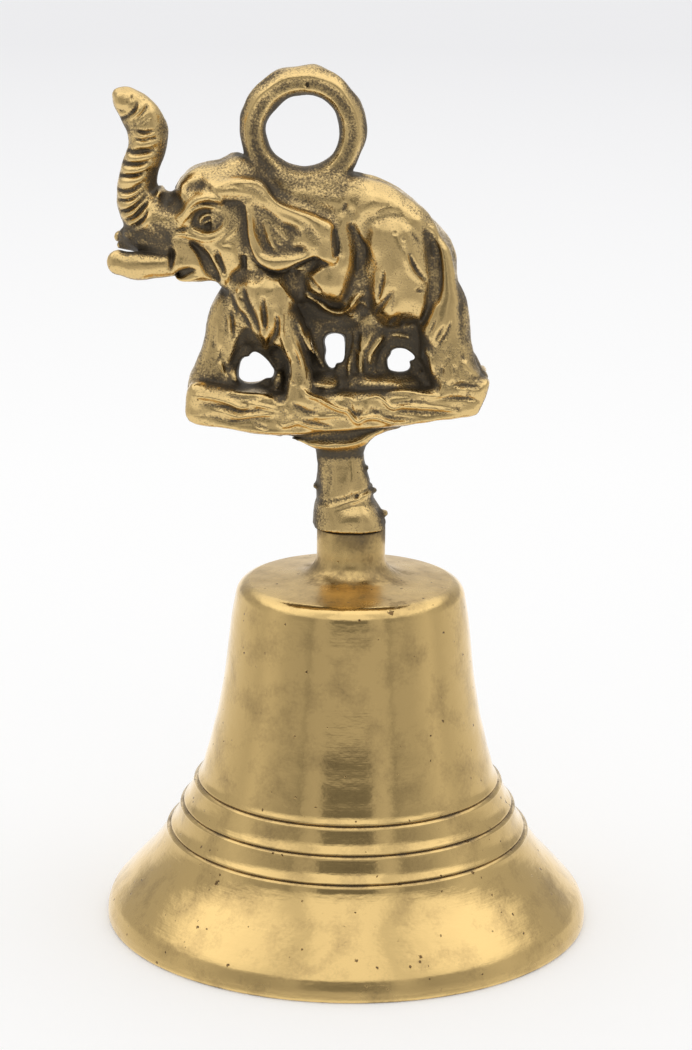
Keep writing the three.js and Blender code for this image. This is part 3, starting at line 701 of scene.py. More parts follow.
def carve_body():
    """The flank, the haunch with its folds, the valleys beside them, and the tail."""
    patch(-0.4, 0.9, [
        (-7.4, 105.4), (-5.6, 106.3), (-3.4, 106.5), (-2.8, 105.9), (-4.2, 105), (-6, 104.4),
    ], dirt=0.25)
    patch(-0.6, 1.5, [
        (-9.8, 103.8), (-8.4, 104.9), (-7, 104.8), (-6.1, 103.4), (-6.2, 101.4), (-6.8, 99.8), (-7.4, 98.6),
        (-8.4, 100.4),
    ], dirt=0.42)
    stroke(-0.4, 0.3, [(-8.3, 105), (-7.7, 104.6), (-7.4, 103.6)], dirt=0.6)
    stroke(0.4, 0.25, [(-10, 102.6), (-9, 101.1), (-8, 99.9), (-7.3, 98.8)])
    stroke(-0.5, 0.35, [(-6, 103.7), (-5, 102.8), (-3.9, 101.6)])
    stroke(-0.5, 0.25, [(-6, 101.4), (-4.9, 100.5), (-3.6, 99.7), (-2.4, 99.2), (-0.6, 99.1)], dirt=0.5)
    stroke(-0.3, 0.35, [(-3.2, 98.9), (-2, 98.5), (-0.9, 98.9)])
    patch(-0.5, 1.6, [
        (-8.4, 98.4), (-6, 99.6), (-4, 98), (-1, 96.4), (3, 97), (3.4, 101.4), (1.4, 101), (1.6, 96),
        (-1, 95.2), (-5, 96.4),
    ], dirt=0.45)
    stroke(0.8, 0.55, [
        (-6.2, 100.9), (-4.8, 99.6), (-3.2, 98.3), (-1.2, 97.7), (0.3, 98.5), (1.1, 99.8), (2, 100.9),
        (3.1, 101.5),
    ])
    stroke(0.5, 0.3, [(1.2, 98.4), (1.6, 99.4), (2.4, 99.5), (3, 98.6)])
    stroke(0.35, 0.3, [(0.1, 97.4), (0.9, 97.3)])
    patch(-0.7, 1.5, [
        (0.3, 111.4), (1.2, 111.1), (1.9, 109.6), (2.7, 108.3), (3.1, 107), (2.9, 104.6), (3.3, 101.6),
        (1.6, 101), (-0.3, 100), (0.2, 102.4), (0.9, 104.2), (1.1, 106.6), (0.7, 109),
    ], dirt=0.3)
    stroke(-0.4, 0.3, [(1.3, 110.6), (2, 109.2), (2.7, 108), (2.7, 106.4)], dirt=0.6)
    stroke(-0.4, 0.25, [(1.5, 107.4), (1.4, 105.4), (1.7, 104.4)], dirt=0.6)
    patch(-0.6, 1.0, [
        (11.4, 110.6), (12.4, 110.4), (13.2, 109.4), (13.9, 107.4), (14.2, 105), (14.2, 102.4),
        (13.8, 100.4), (13, 99.4), (12.4, 98), (11.7, 96.6), (11.2, 97), (11.8, 99), (12, 101),
        (12.3, 102.6), (12.2, 104), (12, 106), (11.7, 108),
    ], dirt=0.32)
    stroke(-0.4, 0.22, [(12.8, 109.4), (13.7, 107.6), (14.1, 105), (14.1, 102), (13.5, 99.9)], dirt=0.6)
    stroke(-0.4, 0.4, [(12.6, 109), (12.8, 107.6), (13.2, 106.4)], dirt=0.5)
    slots = [
        (0.4, 0.3, [(5.5, 104.8), (5.2, 103), (4.7, 100.4)]),
        (0.55, 0.38, [(7.2, 102.2), (6, 100.6), (5, 99.2), (4.3, 98)]),
        (0.25, 0.4, [(7.2, 101.4), (6.8, 99.6), (6.6, 98.4)]),
        (0.5, 0.35, [(7.6, 97.9), (6.9, 96.9), (6.4, 96)]), (0.45, 0.3, [(8.6, 96.9), (8.3, 95.6)]),
        (0.6, 0.32, [(9.1, 108), (9.8, 106), (10.7, 104.5), (11.9, 103.2)]),
        (0.3, 0.2, [(9.4, 110.7), (10.1, 109.8), (10.9, 108.6)]),
        (0.3, 0.3, [(10.1, 101.9), (11.5, 101.6)]), (0.3, 0.18, [(8, 110.1), (8.6, 109.4)]),
        (0.3, 0.22, [(6.9, 110.7), (7.3, 110.5)]), (0.3, 0.35, [(-0.2, 115), (-0.6, 113.4)]),
        (0.25, 0.12, [(4, 113.3), (5.2, 114), (6.6, 114.8)]), (0.25, 0.3, [(10.4, 97.2), (10.6, 96.4)]),
    ]
    for depth, width, points in slots:
        stroke(-depth, width, points)
    stroke(0.35, 0.4, [(8.4, 108.8), (9, 106.4), (10, 104.4), (11.8, 102.7)])
    stroke(0.3, 0.9, [(6.4, 111.4), (8, 108.6), (9.2, 106)])
    stroke(0.25, 0.4, [(4.2, 104.6), (4.2, 102), (4.3, 99.2)])
    stroke(0.3, 0.3, [(6, 103.4), (5.4, 101.4), (5, 100.2)])
    patch(0.3, 1.4, [
        (0.4, 114.2), (3, 113.2), (5.6, 112.8), (7.6, 113.8), (8, 115.6), (6, 117.6), (2, 118.4), (0, 117),
    ])
    patch(0, 1.4, [
        (9.2, 114.4), (11, 113.2), (12.8, 111.6), (13, 110.4), (11.2, 110.4), (10.2, 112.4),
    ], dirt=0.26)
    for points in (
        [(13.5, 97.8), (12.4, 95.2)], [(14.5, 96.6), (13.2, 94)], [(15.7, 97.2), (15, 95.4), (13.6, 93.2)],
    ):
        stroke(-0.4, 0.22, points, dirt=0.5)
    patch(0, 1.2, [(16.7, 102), (18, 101), (18.6, 92), (17, 92.4), (16.6, 96)], dirt=0.32)
    stroke(-0.3, 0.5, [(17, 100), (17.2, 96.6), (17.1, 94.4)], dirt=0.35)


def carve_legs():
    """Long folds down the fore legs, dark pockets round the openings, and the feet."""
    patch(0, 1.6, [(-22, 97), (-16.4, 101), (-15.6, 97), (-17, 92), (-18, 88), (-23, 88)], dirt=0.16)
    patch(-0.4, 1.0, [
        (-17.4, 91), (-16.4, 94), (-15, 95.6), (-13.9, 94.6), (-12.8, 92.6), (-14, 92), (-17.2, 89),
        (-17, 86.8), (-18.2, 87.4), (-18.2, 89.4),
    ], dirt=0.6)
    patch(-0.6, 1.0, [
        (-11.8, 92), (-10.8, 93), (-9.9, 92.2), (-9, 90.6), (-8.8, 88.6), (-9.2, 86.8), (-9.2, 85),
        (-10.4, 84.6), (-12.4, 86), (-16.6, 86.4), (-16.4, 87.4), (-11.6, 87.6), (-10.8, 89.4),
    ], dirt=0.6)
    slots = [
        (0.65, 0.5, [(-15.5, 102.2), (-15.2, 100.4), (-14.5, 98.4), (-13.6, 96.6), (-13.1, 95.2)]),
        (0.3, 0.3, [(-16.2, 100.6), (-15.4, 99.8)]),
        (0.6, 0.44, [(-12.6, 101), (-12.5, 98.8), (-12.4, 96.8), (-12.7, 94.8)]),
        (0.65, 0.46, [(-10.7, 98.2), (-10.4, 97), (-10.6, 95.4), (-11.2, 94), (-11.8, 92.8)]),
        (0.4, 0.32, [(-17.5, 98.4), (-17.3, 96), (-17.1, 93.8)]),
        (0.3, 0.22, [(-18.5, 97.6), (-18.2, 96), (-18.3, 94.4)]),
        (0.35, 0.4, [(-17.5, 100.8), (-16.8, 99), (-16.6, 97)]),
        (0.4, 0.4, [(-16.2, 98.4), (-15.2, 96.8), (-14.4, 95.4)]),
        (0.25, 0.3, [(-20.3, 93.6), (-20.2, 91.8)]), (0.3, 0.25, [(-19, 92.6), (-19.3, 91), (-20, 89.4)]),
        (0.3, 0.18, [(-9, 92.6), (-8.6, 91.4), (-8.2, 90.2)]),
        (0.3, 0.18, [(-7.8, 92.6), (-7.4, 91.2), (-6.9, 89.8)]), (0.3, 0.2, [(-8.5, 87.8), (-7.7, 87.5)]),
        (0.3, 0.25, [(-18.8, 90.6), (-18.4, 89), (-18.8, 87.6)]),
    ]
    for depth, width, points in slots:
        stroke(-depth, width, points)
    ridges = [
        (0.4, 0.4, [(-13.7, 101.8), (-13.3, 98.6), (-12.9, 96), (-12.4, 94.2), (-12.1, 92.6)]),
        (0.3, 0.3, [(-11.6, 99), (-11.6, 96.6), (-12, 94.2)]),
        (0.5, 0.4, [(-9.7, 99.4), (-9.8, 97), (-9.7, 94.8), (-9, 92.6), (-8.3, 90.6), (-8.2, 88.4)]),
        (0.4, 0.35, [(-8.9, 96.8), (-8.2, 94.6), (-7.2, 92.2), (-6.5, 90), (-6.3, 87.8)]),
        (0.4, 0.35, [(-16.4, 101.6), (-16.5, 99.8), (-15.4, 97.8)]),
        (0.3, 0.4, [(-19.4, 96), (-19.4, 93.6), (-19, 91.6)]), (0.3, 0.3, [(-17.9, 97.4), (-17.8, 94.6)]),
        (0.35, 0.3, [(-19.6, 90.4), (-18.9, 89), (-18, 87.6)]),
    ]
    for height, width, points in ridges:
        stroke(height, width, points, sides=(-1,))
    patch(-0.3, 1.2, [
        (-21.4, 87), (-20.4, 87.6), (-19, 87.3), (-17.6, 86.6), (-19, 86.2), (-20.6, 86.4),
    ], dirt=0.42)
    patch(-0.4, 0.7, [(16.1, 87.4), (17.3, 88), (18.8, 87.6), (20, 87.1), (18.2, 87)], dirt=0.4)
    patch(0, 1.4, [(13.6, 93), (18.8, 93), (21.4, 88.6), (20.8, 86.2), (13.6, 86)], dirt=0.24)
    stroke(-0.4, 0.3, [(13.8, 85.3), (16, 85.5), (18, 85.4), (20.2, 85.1)])
    stroke(0.4, 0.5, [(17.4, 91.4), (18.6, 89.8), (20.2, 88.6)])
    stroke(0.3, 0.25, [(16.9, 87), (18.1, 86.8)])
    creases = [
        (15.3, 91.2, 0.1, -0.3), (17.4, 91.8, -0.4, -0.3), (14.4, 89.6, 0.2, -0.3),
        (16.2, 89.8, -0.2, -0.25), (14.8, 93.6, 0.2, 0.25), (16.4, 91, -0.2, 0.25), (14.4, 87, 0.1, 0.3),
        (18.3, 86.1, 0, -0.25), (15.6, 88.4, 0.3, 0.25),
    ]
    for x, z, lean, height in creases:
        stroke(height, 0.3, [(x + lean, z + 0.8), (x - lean, z - 0.8)], dirt=0.35 if height < 0 else 0)


def carve_web():
    """The rough dark metal between the legs, with the worn far hind leg standing in it."""
    patch(0, 1.6, [
        (-8.3, 97.2), (-5, 98.4), (0, 97), (4, 96), (9, 95), (12, 95.2), (13, 92), (13, 89.6), (12.2, 86.6),
        (5, 86.4), (0, 86), (-3, 86.4), (-5.4, 87.6), (-5.8, 91), (-7, 94),
    ], dirt=0.64)
    streaks = [
        (0.7, 0.42, [(-5.9, 95.6), (-5.3, 93), (-4.4, 90.8), (-3.4, 88.8)]),
        (-0.5, 0.5, [(-7, 95), (-6, 92), (-5.4, 89.4)]), (0.5, 0.4, [(-7.4, 97), (-6.4, 94.4), (-5.6, 92)]),
        (0.8, 0.8, [(-4.9, 87.4), (-3, 87.1), (-1.2, 87)]),
        (0.5, 0.4, [(-3.4, 96), (-2, 96), (-0.6, 95.7)]),
        (-0.6, 0.4, [(-0.2, 89.4), (0.4, 91.6), (0.7, 94.4)]),
        (0.5, 0.35, [(0.4, 88), (0.3, 90), (0.9, 93)]),
        (0.9, 0.6, [(2.6, 94.4), (2.2, 92.4), (2, 90.2), (2.2, 88.4)]),
        (0.8, 0.5, [(5.6, 94.2), (4.6, 93), (3.6, 91.4), (3.4, 89.6)]),
        (-0.4, 0.25, [(1.9, 94.8), (1.6, 93), (2, 91.4)]),
        (0.5, 0.3, [(3.8, 94.8), (3.2, 93.4), (2.8, 92)]), (-0.5, 0.35, [(5.8, 92.4), (5, 91), (4.6, 89)]),
        (0.6, 0.9, [(1.6, 87.2), (4.6, 87.3), (8, 87.3), (11.4, 87.1)]),
        (0.6, 0.6, [(11.8, 93), (12.7, 91), (13, 88.6)]),
        (-0.5, 0.6, [(10.6, 90.4), (11.6, 89.4), (11.8, 88.4)]),
        (0.35, 0.3, [(6.2, 94.4), (8, 94.2), (9.8, 93.7)]),
    ]
    for height, width, points in streaks:
        stroke(height, width, points, dirt=0.8 if height < 0 else 0.25)
    patch(0, 1.0, [(-18.5, 87.4), (-10.4, 87.4), (-9.2, 85.6), (-14, 86), (-18.5, 86.2)], dirt=0.75)
    surrounds = (
        [(-4.4, 94), (-3.4, 96), (-0.4, 96), (0.6, 94), (0.6, 91), (-1.6, 88.8), (-3.4, 88.6), (-4.6, 91)],
        [(5.4, 91), (6.4, 93.4), (9.4, 93.6), (11, 91.6), (10.4, 89), (8, 88.4), (5.6, 89)],
        [(-17.4, 89), (-16.8, 91.4), (-14.2, 93), (-11.6, 91.4), (-10.4, 89), (-11.6, 87.2), (-15.4, 86.6)],
    )
    for outline in surrounds:
        patch(-0.3, 1.0, outline, dirt=0.85)
    specks = [
        (3.5, 89), (4.4, 88.5), (11.3, 88.7), (0.7, 86.9), (11.8, 92), (11.9, 90), (-11.4, 85.2),
        (-10.6, 86.2),
    ]
    for x, z in specks:
        stroke(0.35, 0.16, [(x - 0.1, z), (x + 0.1, z + 0.1)], taper=False)


def carve_ground():
    """Folds of rock along the edge of the ground."""
    ridges = [
        (0.6, 0.42, [(-23.4, 85.8), (-20, 85.3), (-17.6, 84.6), (-16, 83.9), (-14.8, 84)]),
        (0.5, 0.35, [(-15, 84.4), (-13.4, 84.2), (-11.4, 83.8), (-10.2, 83.4)]),
        (0.5, 0.35, [(-21, 83.4), (-18.6, 83), (-16.6, 82.4), (-14.8, 82.5), (-12.4, 82.8), (-10.2, 82.9)]),
        (0.4, 0.5, [
            (-24, 81.6), (-20, 81), (-14, 80.2), (-8, 79.9), (0, 80.5), (8, 81.4), (14, 82.1), (19.4, 82.9),
        ]),
        (0.5, 0.28, [
            (-10.8, 81.8), (-9.8, 81), (-8.8, 81.1), (-7.6, 81.5), (-6.4, 81.2), (-5.2, 80.7), (-3.6, 80.5),
        ]),
        (0.8, 0.4, [
            (-6.8, 87), (-5.9, 86), (-4.2, 85.3), (-2.4, 84.2), (-1, 83.6), (0.1, 83.3), (0.7, 82.6),
            (1.3, 81.9), (1.9, 81.7), (2.7, 82.2), (4.2, 82.4), (5.6, 82), (7.2, 81.6), (9.2, 81.6),
        ]),
        (0.6, 0.34, [
            (3, 85.3), (4.6, 85.6), (5.7, 84.9), (6.5, 84.1), (7.4, 83.9), (8.4, 84.2), (11, 84),
            (14, 83.8), (17.2, 83.4),
        ]),
        (0.4, 0.35, [(-0.4, 85.5), (0.8, 85.2), (1.2, 84.4), (1.2, 83.4)]),
        (0.35, 0.35, [(6, 86.1), (9, 86.3), (12.4, 85.8), (15, 85.8)]),
        (0.35, 0.3, [(-9.4, 84.2), (-8.6, 83.2), (-8.8, 82.4)]),
        (0.35, 0.3, [(2.6, 84.6), (2.9, 83.6), (2.4, 82.9)]),
        (0.3, 0.3, [(-5.8, 82.6), (-3.8, 82.4), (-1.4, 82.6), (0.2, 82.2)]),
    ]
    grooves = [
        (0.3, 0.25, [
            (-22.6, 84.4), (-20.4, 84.2), (-18, 83.8), (-16.4, 83.3), (-14.2, 83.3), (-12.4, 83.7),
        ]),
        (0.25, 0.25, [(-23, 82.6), (-20.4, 82.3), (-17.4, 81.7), (-14.8, 82), (-12.8, 82.2), (-10.6, 82)]),
        (0.35, 0.3, [(-7, 81.9), (-5.2, 81.5), (-3.6, 81.1), (-2, 80.9)]),
        (0.3, 0.35, [(-8.4, 84.6), (-7, 83.9), (-5.8, 83.2), (-4.2, 83.2)]),
        (0.35, 0.3, [(7.2, 83.5), (9.4, 83.3), (12.4, 83.1), (16.4, 83.2)]),
        (0.3, 0.28, [(5.4, 82.9), (6.8, 82.4), (9, 82.2), (10.6, 82)]),
        (0.3, 0.25, [(6.8, 84.6), (8.4, 84.7), (10.6, 84.9), (12.6, 84.6)]),
        (0.3, 0.35, [(-14.2, 81.5), (-13, 81), (-11.8, 80.6)]), (0.3, 0.3, [(15.8, 83.9), (17.3, 83.7)]),
        (0.25, 0.2, [(-21.6, 81.6), (-21.2, 81.4)]), (0.2, 0.2, [(-20.3, 81.2), (-20, 81.1)]),
        (0.3, 0.3, [(0.4, 83.8), (1.6, 82.8), (2.2, 83.6)]),
        (0.25, 0.3, [(-18.8, 85.9), (-16.8, 85.4), (-14.6, 85.2), (-12.6, 85.4)]),
        (0.25, 0.2, [(9.5, 85.2), (9.9, 85)]), (0.25, 0.3, [(3.4, 83.9), (4.4, 83.3), (5.4, 83.5)]),
    ]
    for height, width, points in ridges:
        stroke(height, width, points)
    for depth, width, points in grooves:
        stroke(-depth, width, points, dirt=0.36)
    patch(0, 1.2, [(-19, 86.4), (-14, 85.8), (-11, 85), (-13.6, 84.6), (-17, 85.4)], dirt=0.25)
    patch(0, 1.0, [
        (-1, 85.8), (3, 86.2), (8, 86.8), (13, 86.2), (13, 85.4), (8, 85.6), (3, 84.8), (0.4, 84.2),
    ], dirt=0.25)


def carve_stem():
    """The worn step round the post, casting pits, and the dirty hollow under the ground."""
    stroke(0.3, 0.4, [(-4.6, 67.4), (-2, 67.8), (0, 68.3), (3, 69.4), (4.4, 69.9)])
    stroke(-0.25, 0.3, [(-4.6, 68.2), (-2, 68.7), (0, 69.2), (3, 70.2), (4.4, 70.6)], dirt=0.2)
    stroke(-0.5, 0.25, [(1.5, 69.3), (1.7, 69.4)], dirt=0.7, sides=(-1,), taper=False)
    patch(0, 2.0, [(-5, 76), (-2.8, 75.6), (-2.8, 70), (-3.2, 64), (-6, 64)], dirt=0.3)
    patch(0, 1.0, [
        (-6, 78), (-4.4, 76.8), (-1, 76.4), (2.6, 77), (4, 78), (3.4, 75.6), (-1, 75.2), (-4.8, 75.4),
    ], dirt=0.8)
    patch(0, 0.8, [
        (2.4, 74), (3.8, 74), (4.4, 70.6), (5.6, 70), (5, 68), (7, 66.4), (7, 64), (5.4, 63.8), (4.6, 67),
        (3.6, 70),
    ], dirt=0.45)
    patch(0, 0.8, [(-5.6, 64.6), (0, 64.6), (6.6, 64.8), (6.8, 63.6), (-5.6, 63.4)], dirt=0.3)
    stroke(-0.25, 0.5, [(-2.6, 75.4), (-2.4, 72), (-2.8, 69.4)], dirt=0.2)
    stroke(0.2, 0.5, [(0.8, 75), (0.9, 72.6), (0.7, 70)])
    patch(-0.5, 1.0, [
        (-9.6, 78.8), (-6, 78.9), (-1, 79.4), (5.4, 80.4), (3.6, 79.4), (0.6, 78.2), (-1, 77.9), (-4.6, 78),
        (-7, 78.3),
    ], dirt=0.5)
    stroke(0.3, 0.5, [
        (-11.4, 79), (-8, 78.1), (-5, 77.4), (-1.6, 77.2), (1, 77.7), (3.6, 78.9), (6.6, 80.4),
    ])


def foul_ring():
    """Dirt on the ring: thin on its faces, thicker inside it and where it stands on the neck."""
    x, z = axis_x[:, None], axis_z[None, :]
    radius = np.hypot(x + RING_X, z - RING_Z)
    outer = RING_EDGE_DIRT * np.clip((radius - 8.4) / 0.4, 0, 1) * (radius < 10.5)
    trough = RING_TROUGH_DIRT * np.clip(1.5 - np.abs(radius - 7.3), 0, 1)
    inner = RING_HOLE_DIRT * np.clip((6.6 - radius) / 0.6, 0, 1)
    for dirt in (outer, trough, inner):
        grime_map[...] = np.maximum(grime_map, dirt)
    foot = [
        (-16.6, 121.4), (-13.2, 120), (-12.4, 117.4), (-7, 115.6), (-1.6, 117), (1.4, 119.4), (3, 118.6),
        (0.4, 116.4), (-6, 114.6), (-12.6, 116.4), (-14.4, 118.8), (-17.4, 120.4),
    ]
    patch(0, 1.6, foot, dirt=0.36)
    patch(0, 2.0, [(-17, 128), (-13, 133), (-9, 132.4), (-13.4, 128), (-14.4, 123), (-16.6, 122)], dirt=0.3)
    stroke(-0.5, 0.2, [(-6.1, 132.2), (-6, 131.8)], dirt=0.9, taper=False)


HANDLE_LEAN = math.radians(0.46)
HANDLE_SHIFT = (-0.28, 0, -0.24)  # sets the leaned casting on the bell's axis, inside the CAD's height
CASTING_BUMPS = [(1.8, 0.15), (0.9, 0.08), (0.5, 0.035)]  # size and height
PILLOW_BLUR = 0.3
RELIEF_START = 0.4  # relief begins this far from the middle plane, and is whole RELIEF_RISE further out
RELIEF_RISE = 1.2
SURFACE_BAND = 1.5  # distances beyond this don't count in how sunken the surface is
# Painted occlusion shade: how far out along the normal the field is sampled
OCCLUSION_REACH = (0.7, 1.6)
SLOPE_BLUR = 0.25
FINE_BLUR = 0.4
BROAD_BLUR = 1.4
STEEP_START = 0.85  # a face is steep when its normal's Y is less than this, and quite so STEEP_RANGE below
STEEP_RANGE = 0.5
RECESS_BASE = 0.12
FINE_WEIGHT = 1.1
BROAD_WEIGHT = 0.3
STEEP_WEIGHT = 0.45
OCCLUSION_SHADE_WEIGHT = 0.75


def blurred(values, sigma):
    """The values after three box blurs along each axis, close to a Gaussian blur."""
    reach = max(1, round(sigma / FIELD_STEP))
    for axis in range(values.ndim):
        for _ in range(3):
            padding = [(reach + 1, reach) if a == axis else (0, 0) for a in range(values.ndim)]
            padded = np.pad(values, padding, mode="edge")
            total = np.cumsum(padded, axis=axis, dtype=np.float64)
            high = np.take(total, range(2 * reach + 1, total.shape[axis]), axis=axis)
            low = np.take(total, range(total.shape[axis] - 2 * reach - 1), axis=axis)
            values = ((high - low) / (2 * reach + 1)).astype(np.float32)
    return values


def sample(values, points):
    """The grid's value at each point, by linear interpolation."""
    place = (points - np.array(FIELD_LOW)) / FIELD_STEP
    place = np.clip(place, 0, np.array(values.shape) - 1.001)
    cell = place.astype(int)
    part = place - cell
    found = np.zeros(len(points))
    for corner in np.ndindex(2, 2, 2):
        weight = np.prod(np.where(corner, part, 1 - part), axis=1)
        i, j, k = (cell + corner).T
        found += weight * values[i, j, k]
    return found


def roughen():
    """The faint unevenness of a sand casting."""
    rng = np.random.default_rng(7)
    for sigma, height in CASTING_BUMPS:
        bumps = blurred(rng.standard_normal(field.shape, dtype=np.float32), sigma)
        field[...] += bumps * (height / bumps.std())


def fill_field():
    """The whole casting: masses, then relief on both faces, then the openings and the roughness."""
    for build in (
        sculpt_ground, sculpt_legs, sculpt_body, sculpt_head, sculpt_ears, sculpt_ring, sculpt_stem,
    ):
        build()
    for side in SIDES:
        relief[side][...] = blurred(relief[side], PILLOW_BLUR)
    for carve in (
        carve_face, carve_trunk, carve_web, carve_legs, carve_body, carve_ears, carve_ground, carve_stem,
    ):
        carve()
    foul_ring()
    for side in SIDES:
        proud = np.clip(side * axis_y - RELIEF_START, 0, RELIEF_RISE) / RELIEF_RISE
        field[...] -= relief[side][:, None, :] * proud[None, :, None]
    sculpt_openings()
    roughen()


def handle_patina_and_shade(points):
    """Dirt stays in hollows and where the grime map has it; painted shade darkens what lies under overhangs,
    and steep faces take both dirt and painted shade.
    """
    near = np.clip(field, -SURFACE_BAND, SURFACE_BAND)
    fine = -sample(blurred(near, FINE_BLUR), points)
    broad = -sample(blurred(near, BROAD_BLUR), points)
    slopes = [sample(slope, points) for slope in np.gradient(blurred(near, SLOPE_BLUR))]
    outward = (np.array(slopes) / np.linalg.norm(slopes, axis=0)).T
    # Painted shade: ambient occlusion, from how far points just off the surface lie inside the field
    occlusion_shade = 0
    for reach in OCCLUSION_REACH:
        occlusion_shade = occlusion_shade + np.clip(1 - sample(field, points + outward * reach) / reach, 0, 1)
    occlusion_shade = occlusion_shade / len(OCCLUSION_REACH)
    # Steep faces darken as dirt and as painted shade, the more where they face down or lie under overhangs
    steep = np.clip((STEEP_START - np.abs(outward[:, 1])) / STEEP_RANGE, 0, 1)
    steep *= np.clip(1 - 0.8 * outward[:, 2] + 2 * occlusion_shade, 0, 1.6)
    stains = sample(np.broadcast_to(grime_map[:, None, :], field.shape), points)
    sunken = FINE_WEIGHT * fine + BROAD_WEIGHT * broad
    patina_and_shade = RECESS_BASE + sunken + stains + STEEP_WEIGHT * steep + OCCLUSION_SHADE_WEIGHT * occlusion_shade
    return np.clip(patina_and_shade, 0, 1)


def elephant_handle():
    fill_field()
    grid = openvdb.FloatGrid(background=FAR)
    grid.copyFromArray(np.clip(field, -FAR, FAR))
    points, _, quads = grid.convertToPolygons(isovalue=0.0, adaptivity=0.0)
    points = points * FIELD_STEP + np.array(FIELD_LOW)
    lean = np.array(Matrix.Rotation(-HANDLE_LEAN, 3, "Y"))
    shell = points @ lean.T + HANDLE_SHIFT, quads
    piece = make_piece("elephant_casting", [shell], cast_brass, "elephant_handle", "bell")
    set_vertex_values(piece, handle_patina_and_shade(points))


# ---- The turned bell ------------------------------------------------------------------------------

BELL_SEGMENTS = 288
LIP = [[35.0, 0.05], [37.4, 0.01], [37.84, 0.1], [37.97, 0.4], [37.96, 1.0], [37.88, 1.8], [37.64, 2.6]]
FLARE = [
    [37.64, 2.6], [37.3, 3.35], [36.85, 4.0], [36.3, 4.65], [35.1, 6.0], [33.35, 7.9], [31.4, 10.0],
    [29.9, 12.0], [28.95, 13.6], [28.6, 14.45],
]
BANDS = [
    [[27.95, 15.1], [27.3, 16.0], [26.85, 17.0], [26.45, 18.3]],
    [[25.9, 19.0], [25.2, 20.0], [24.75, 21.0], [24.3, 22.2]],
]  # between the turned lines
WAIST = [
    [23.65, 22.9], [23.05, 24.0], [22.5, 26.0], [21.92, 28.0], [21.3, 30.6], [20.7, 33.0], [20.15, 36.0],
    [19.5, 40.0], [19.05, 44.0], [18.55, 48.5], [18.15, 51.0], [17.95, 52.1],
]
GROOVE_DEPTH = 0.3
HOLLOW = [
    [16, 48], [17.2, 40], [18.9, 30], [21.7, 21.6], [25.6, 14.2], [28.6, 9.2], [32.6, 5.6], [34.3, 2.6],
    [34.7, 0.6],
]
CROWN_Z = 54.8
NECK_RADIUS = 5.3
NECK_TOP = 63.4
BORE_RADIUS = 2.7
HOLLOW_TOP = 51.8
SHOULDER_CENTRE = (15.25, 52.3)
SHOULDER_RADIUS = 2.62
NECK_FILLET = 3.4
TURNED_LINES = (14.78, 18.66, 22.56)  # heights of the middles of the cut lines
NECK_CORNER = (6.1, 56.4)
CROWN_START = 53.5
CLEAN = 0.12  # value of open, polished metal, and below what is added to it
LINE_GRIME, LINE_SPREAD = 0.6, 0.16
CORNER_GRIME, CORNER_SPREAD = 0.26, 2.6
# Painted shadow at the lip, standing in for the reflection of the shadow on the floor round its foot
RIM_PAINTED_SHADOW, RIM_SPREAD = 0.5, 0.2
# Painted shade in the gap where the stem sits on the neck's top
SEAT_SHADE, SEAT_SPREAD = 0.6, 0.25
INSIDE_GRIME = 0.5
CROWN_GRIME = 0.08
LIP_HAZE = 0.3
CROWN_HAZE = 0.38


def arc(centre, radius, start, end, steps=8):
    """[radius, height] points on an arc between two angles in degrees."""
    angles = np.radians(np.linspace(start, end, steps))
    return np.stack([centre[0] + radius * np.cos(angles), centre[1] + radius * np.sin(angles)], axis=-1)


def turned_line(below, above):
    """A cut V between two parts of the wall, as points from the lower lip to the upper one."""
    (r0, z0), (r1, z1) = below, above
    bottom = min(r0, r1) - GROOVE_DEPTH
    middle = (z0 + z1) / 2
    return [
        [r0 + 0.02, z0 + 0.1], [bottom + 0.12, middle - 0.08], [bottom, middle], [r1 - 0.05, middle + 0.16],
        [r1 + 0.02, z1 - 0.08],
    ]


def bell_wall():
    """The bell's whole section: up the outside, down the bore and down the hollow to the lip."""
    sections = [catmull_rom(LIP, 6), catmull_rom(FLARE, 8)[1:]]
    walls = [FLARE, *BANDS, WAIST]
    for below, above in zip(walls, walls[1:]):
        sections.append(turned_line(below[-1], above[0]))
        sections.append(catmull_rom(above, 6))
    shoulder = arc(SHOULDER_CENTRE, SHOULDER_RADIUS, 6, 80, 12)
    crown = [[13.6, CROWN_Z + 0.28], [11.4, CROWN_Z + 0.52], [9.8, CROWN_Z + 0.68]]
    neck_fillet = arc((NECK_RADIUS + NECK_FILLET, CROWN_Z + 4.25), NECK_FILLET, 262, 180, 12)
    neck = [[NECK_RADIUS, 60], [NECK_RADIUS, NECK_TOP - 0.2], [NECK_RADIUS - 0.2, NECK_TOP]]
    bore = [[BORE_RADIUS + 0.2, NECK_TOP], [BORE_RADIUS, NECK_TOP - 0.2], [BORE_RADIUS, HOLLOW_TOP]]
    crown_corner = arc((13.4, HOLLOW_TOP - 2), 2, 90, 0)
    sections += [shoulder, crown, neck_fillet, neck, bore, crown_corner, catmull_rom(HOLLOW, 8)]
    return np.vstack(sections)


def falloff(away, spread):
    """1 at a place, falling smoothly to nothing over about this spread."""
    return np.exp(-((away / spread) ** 2))


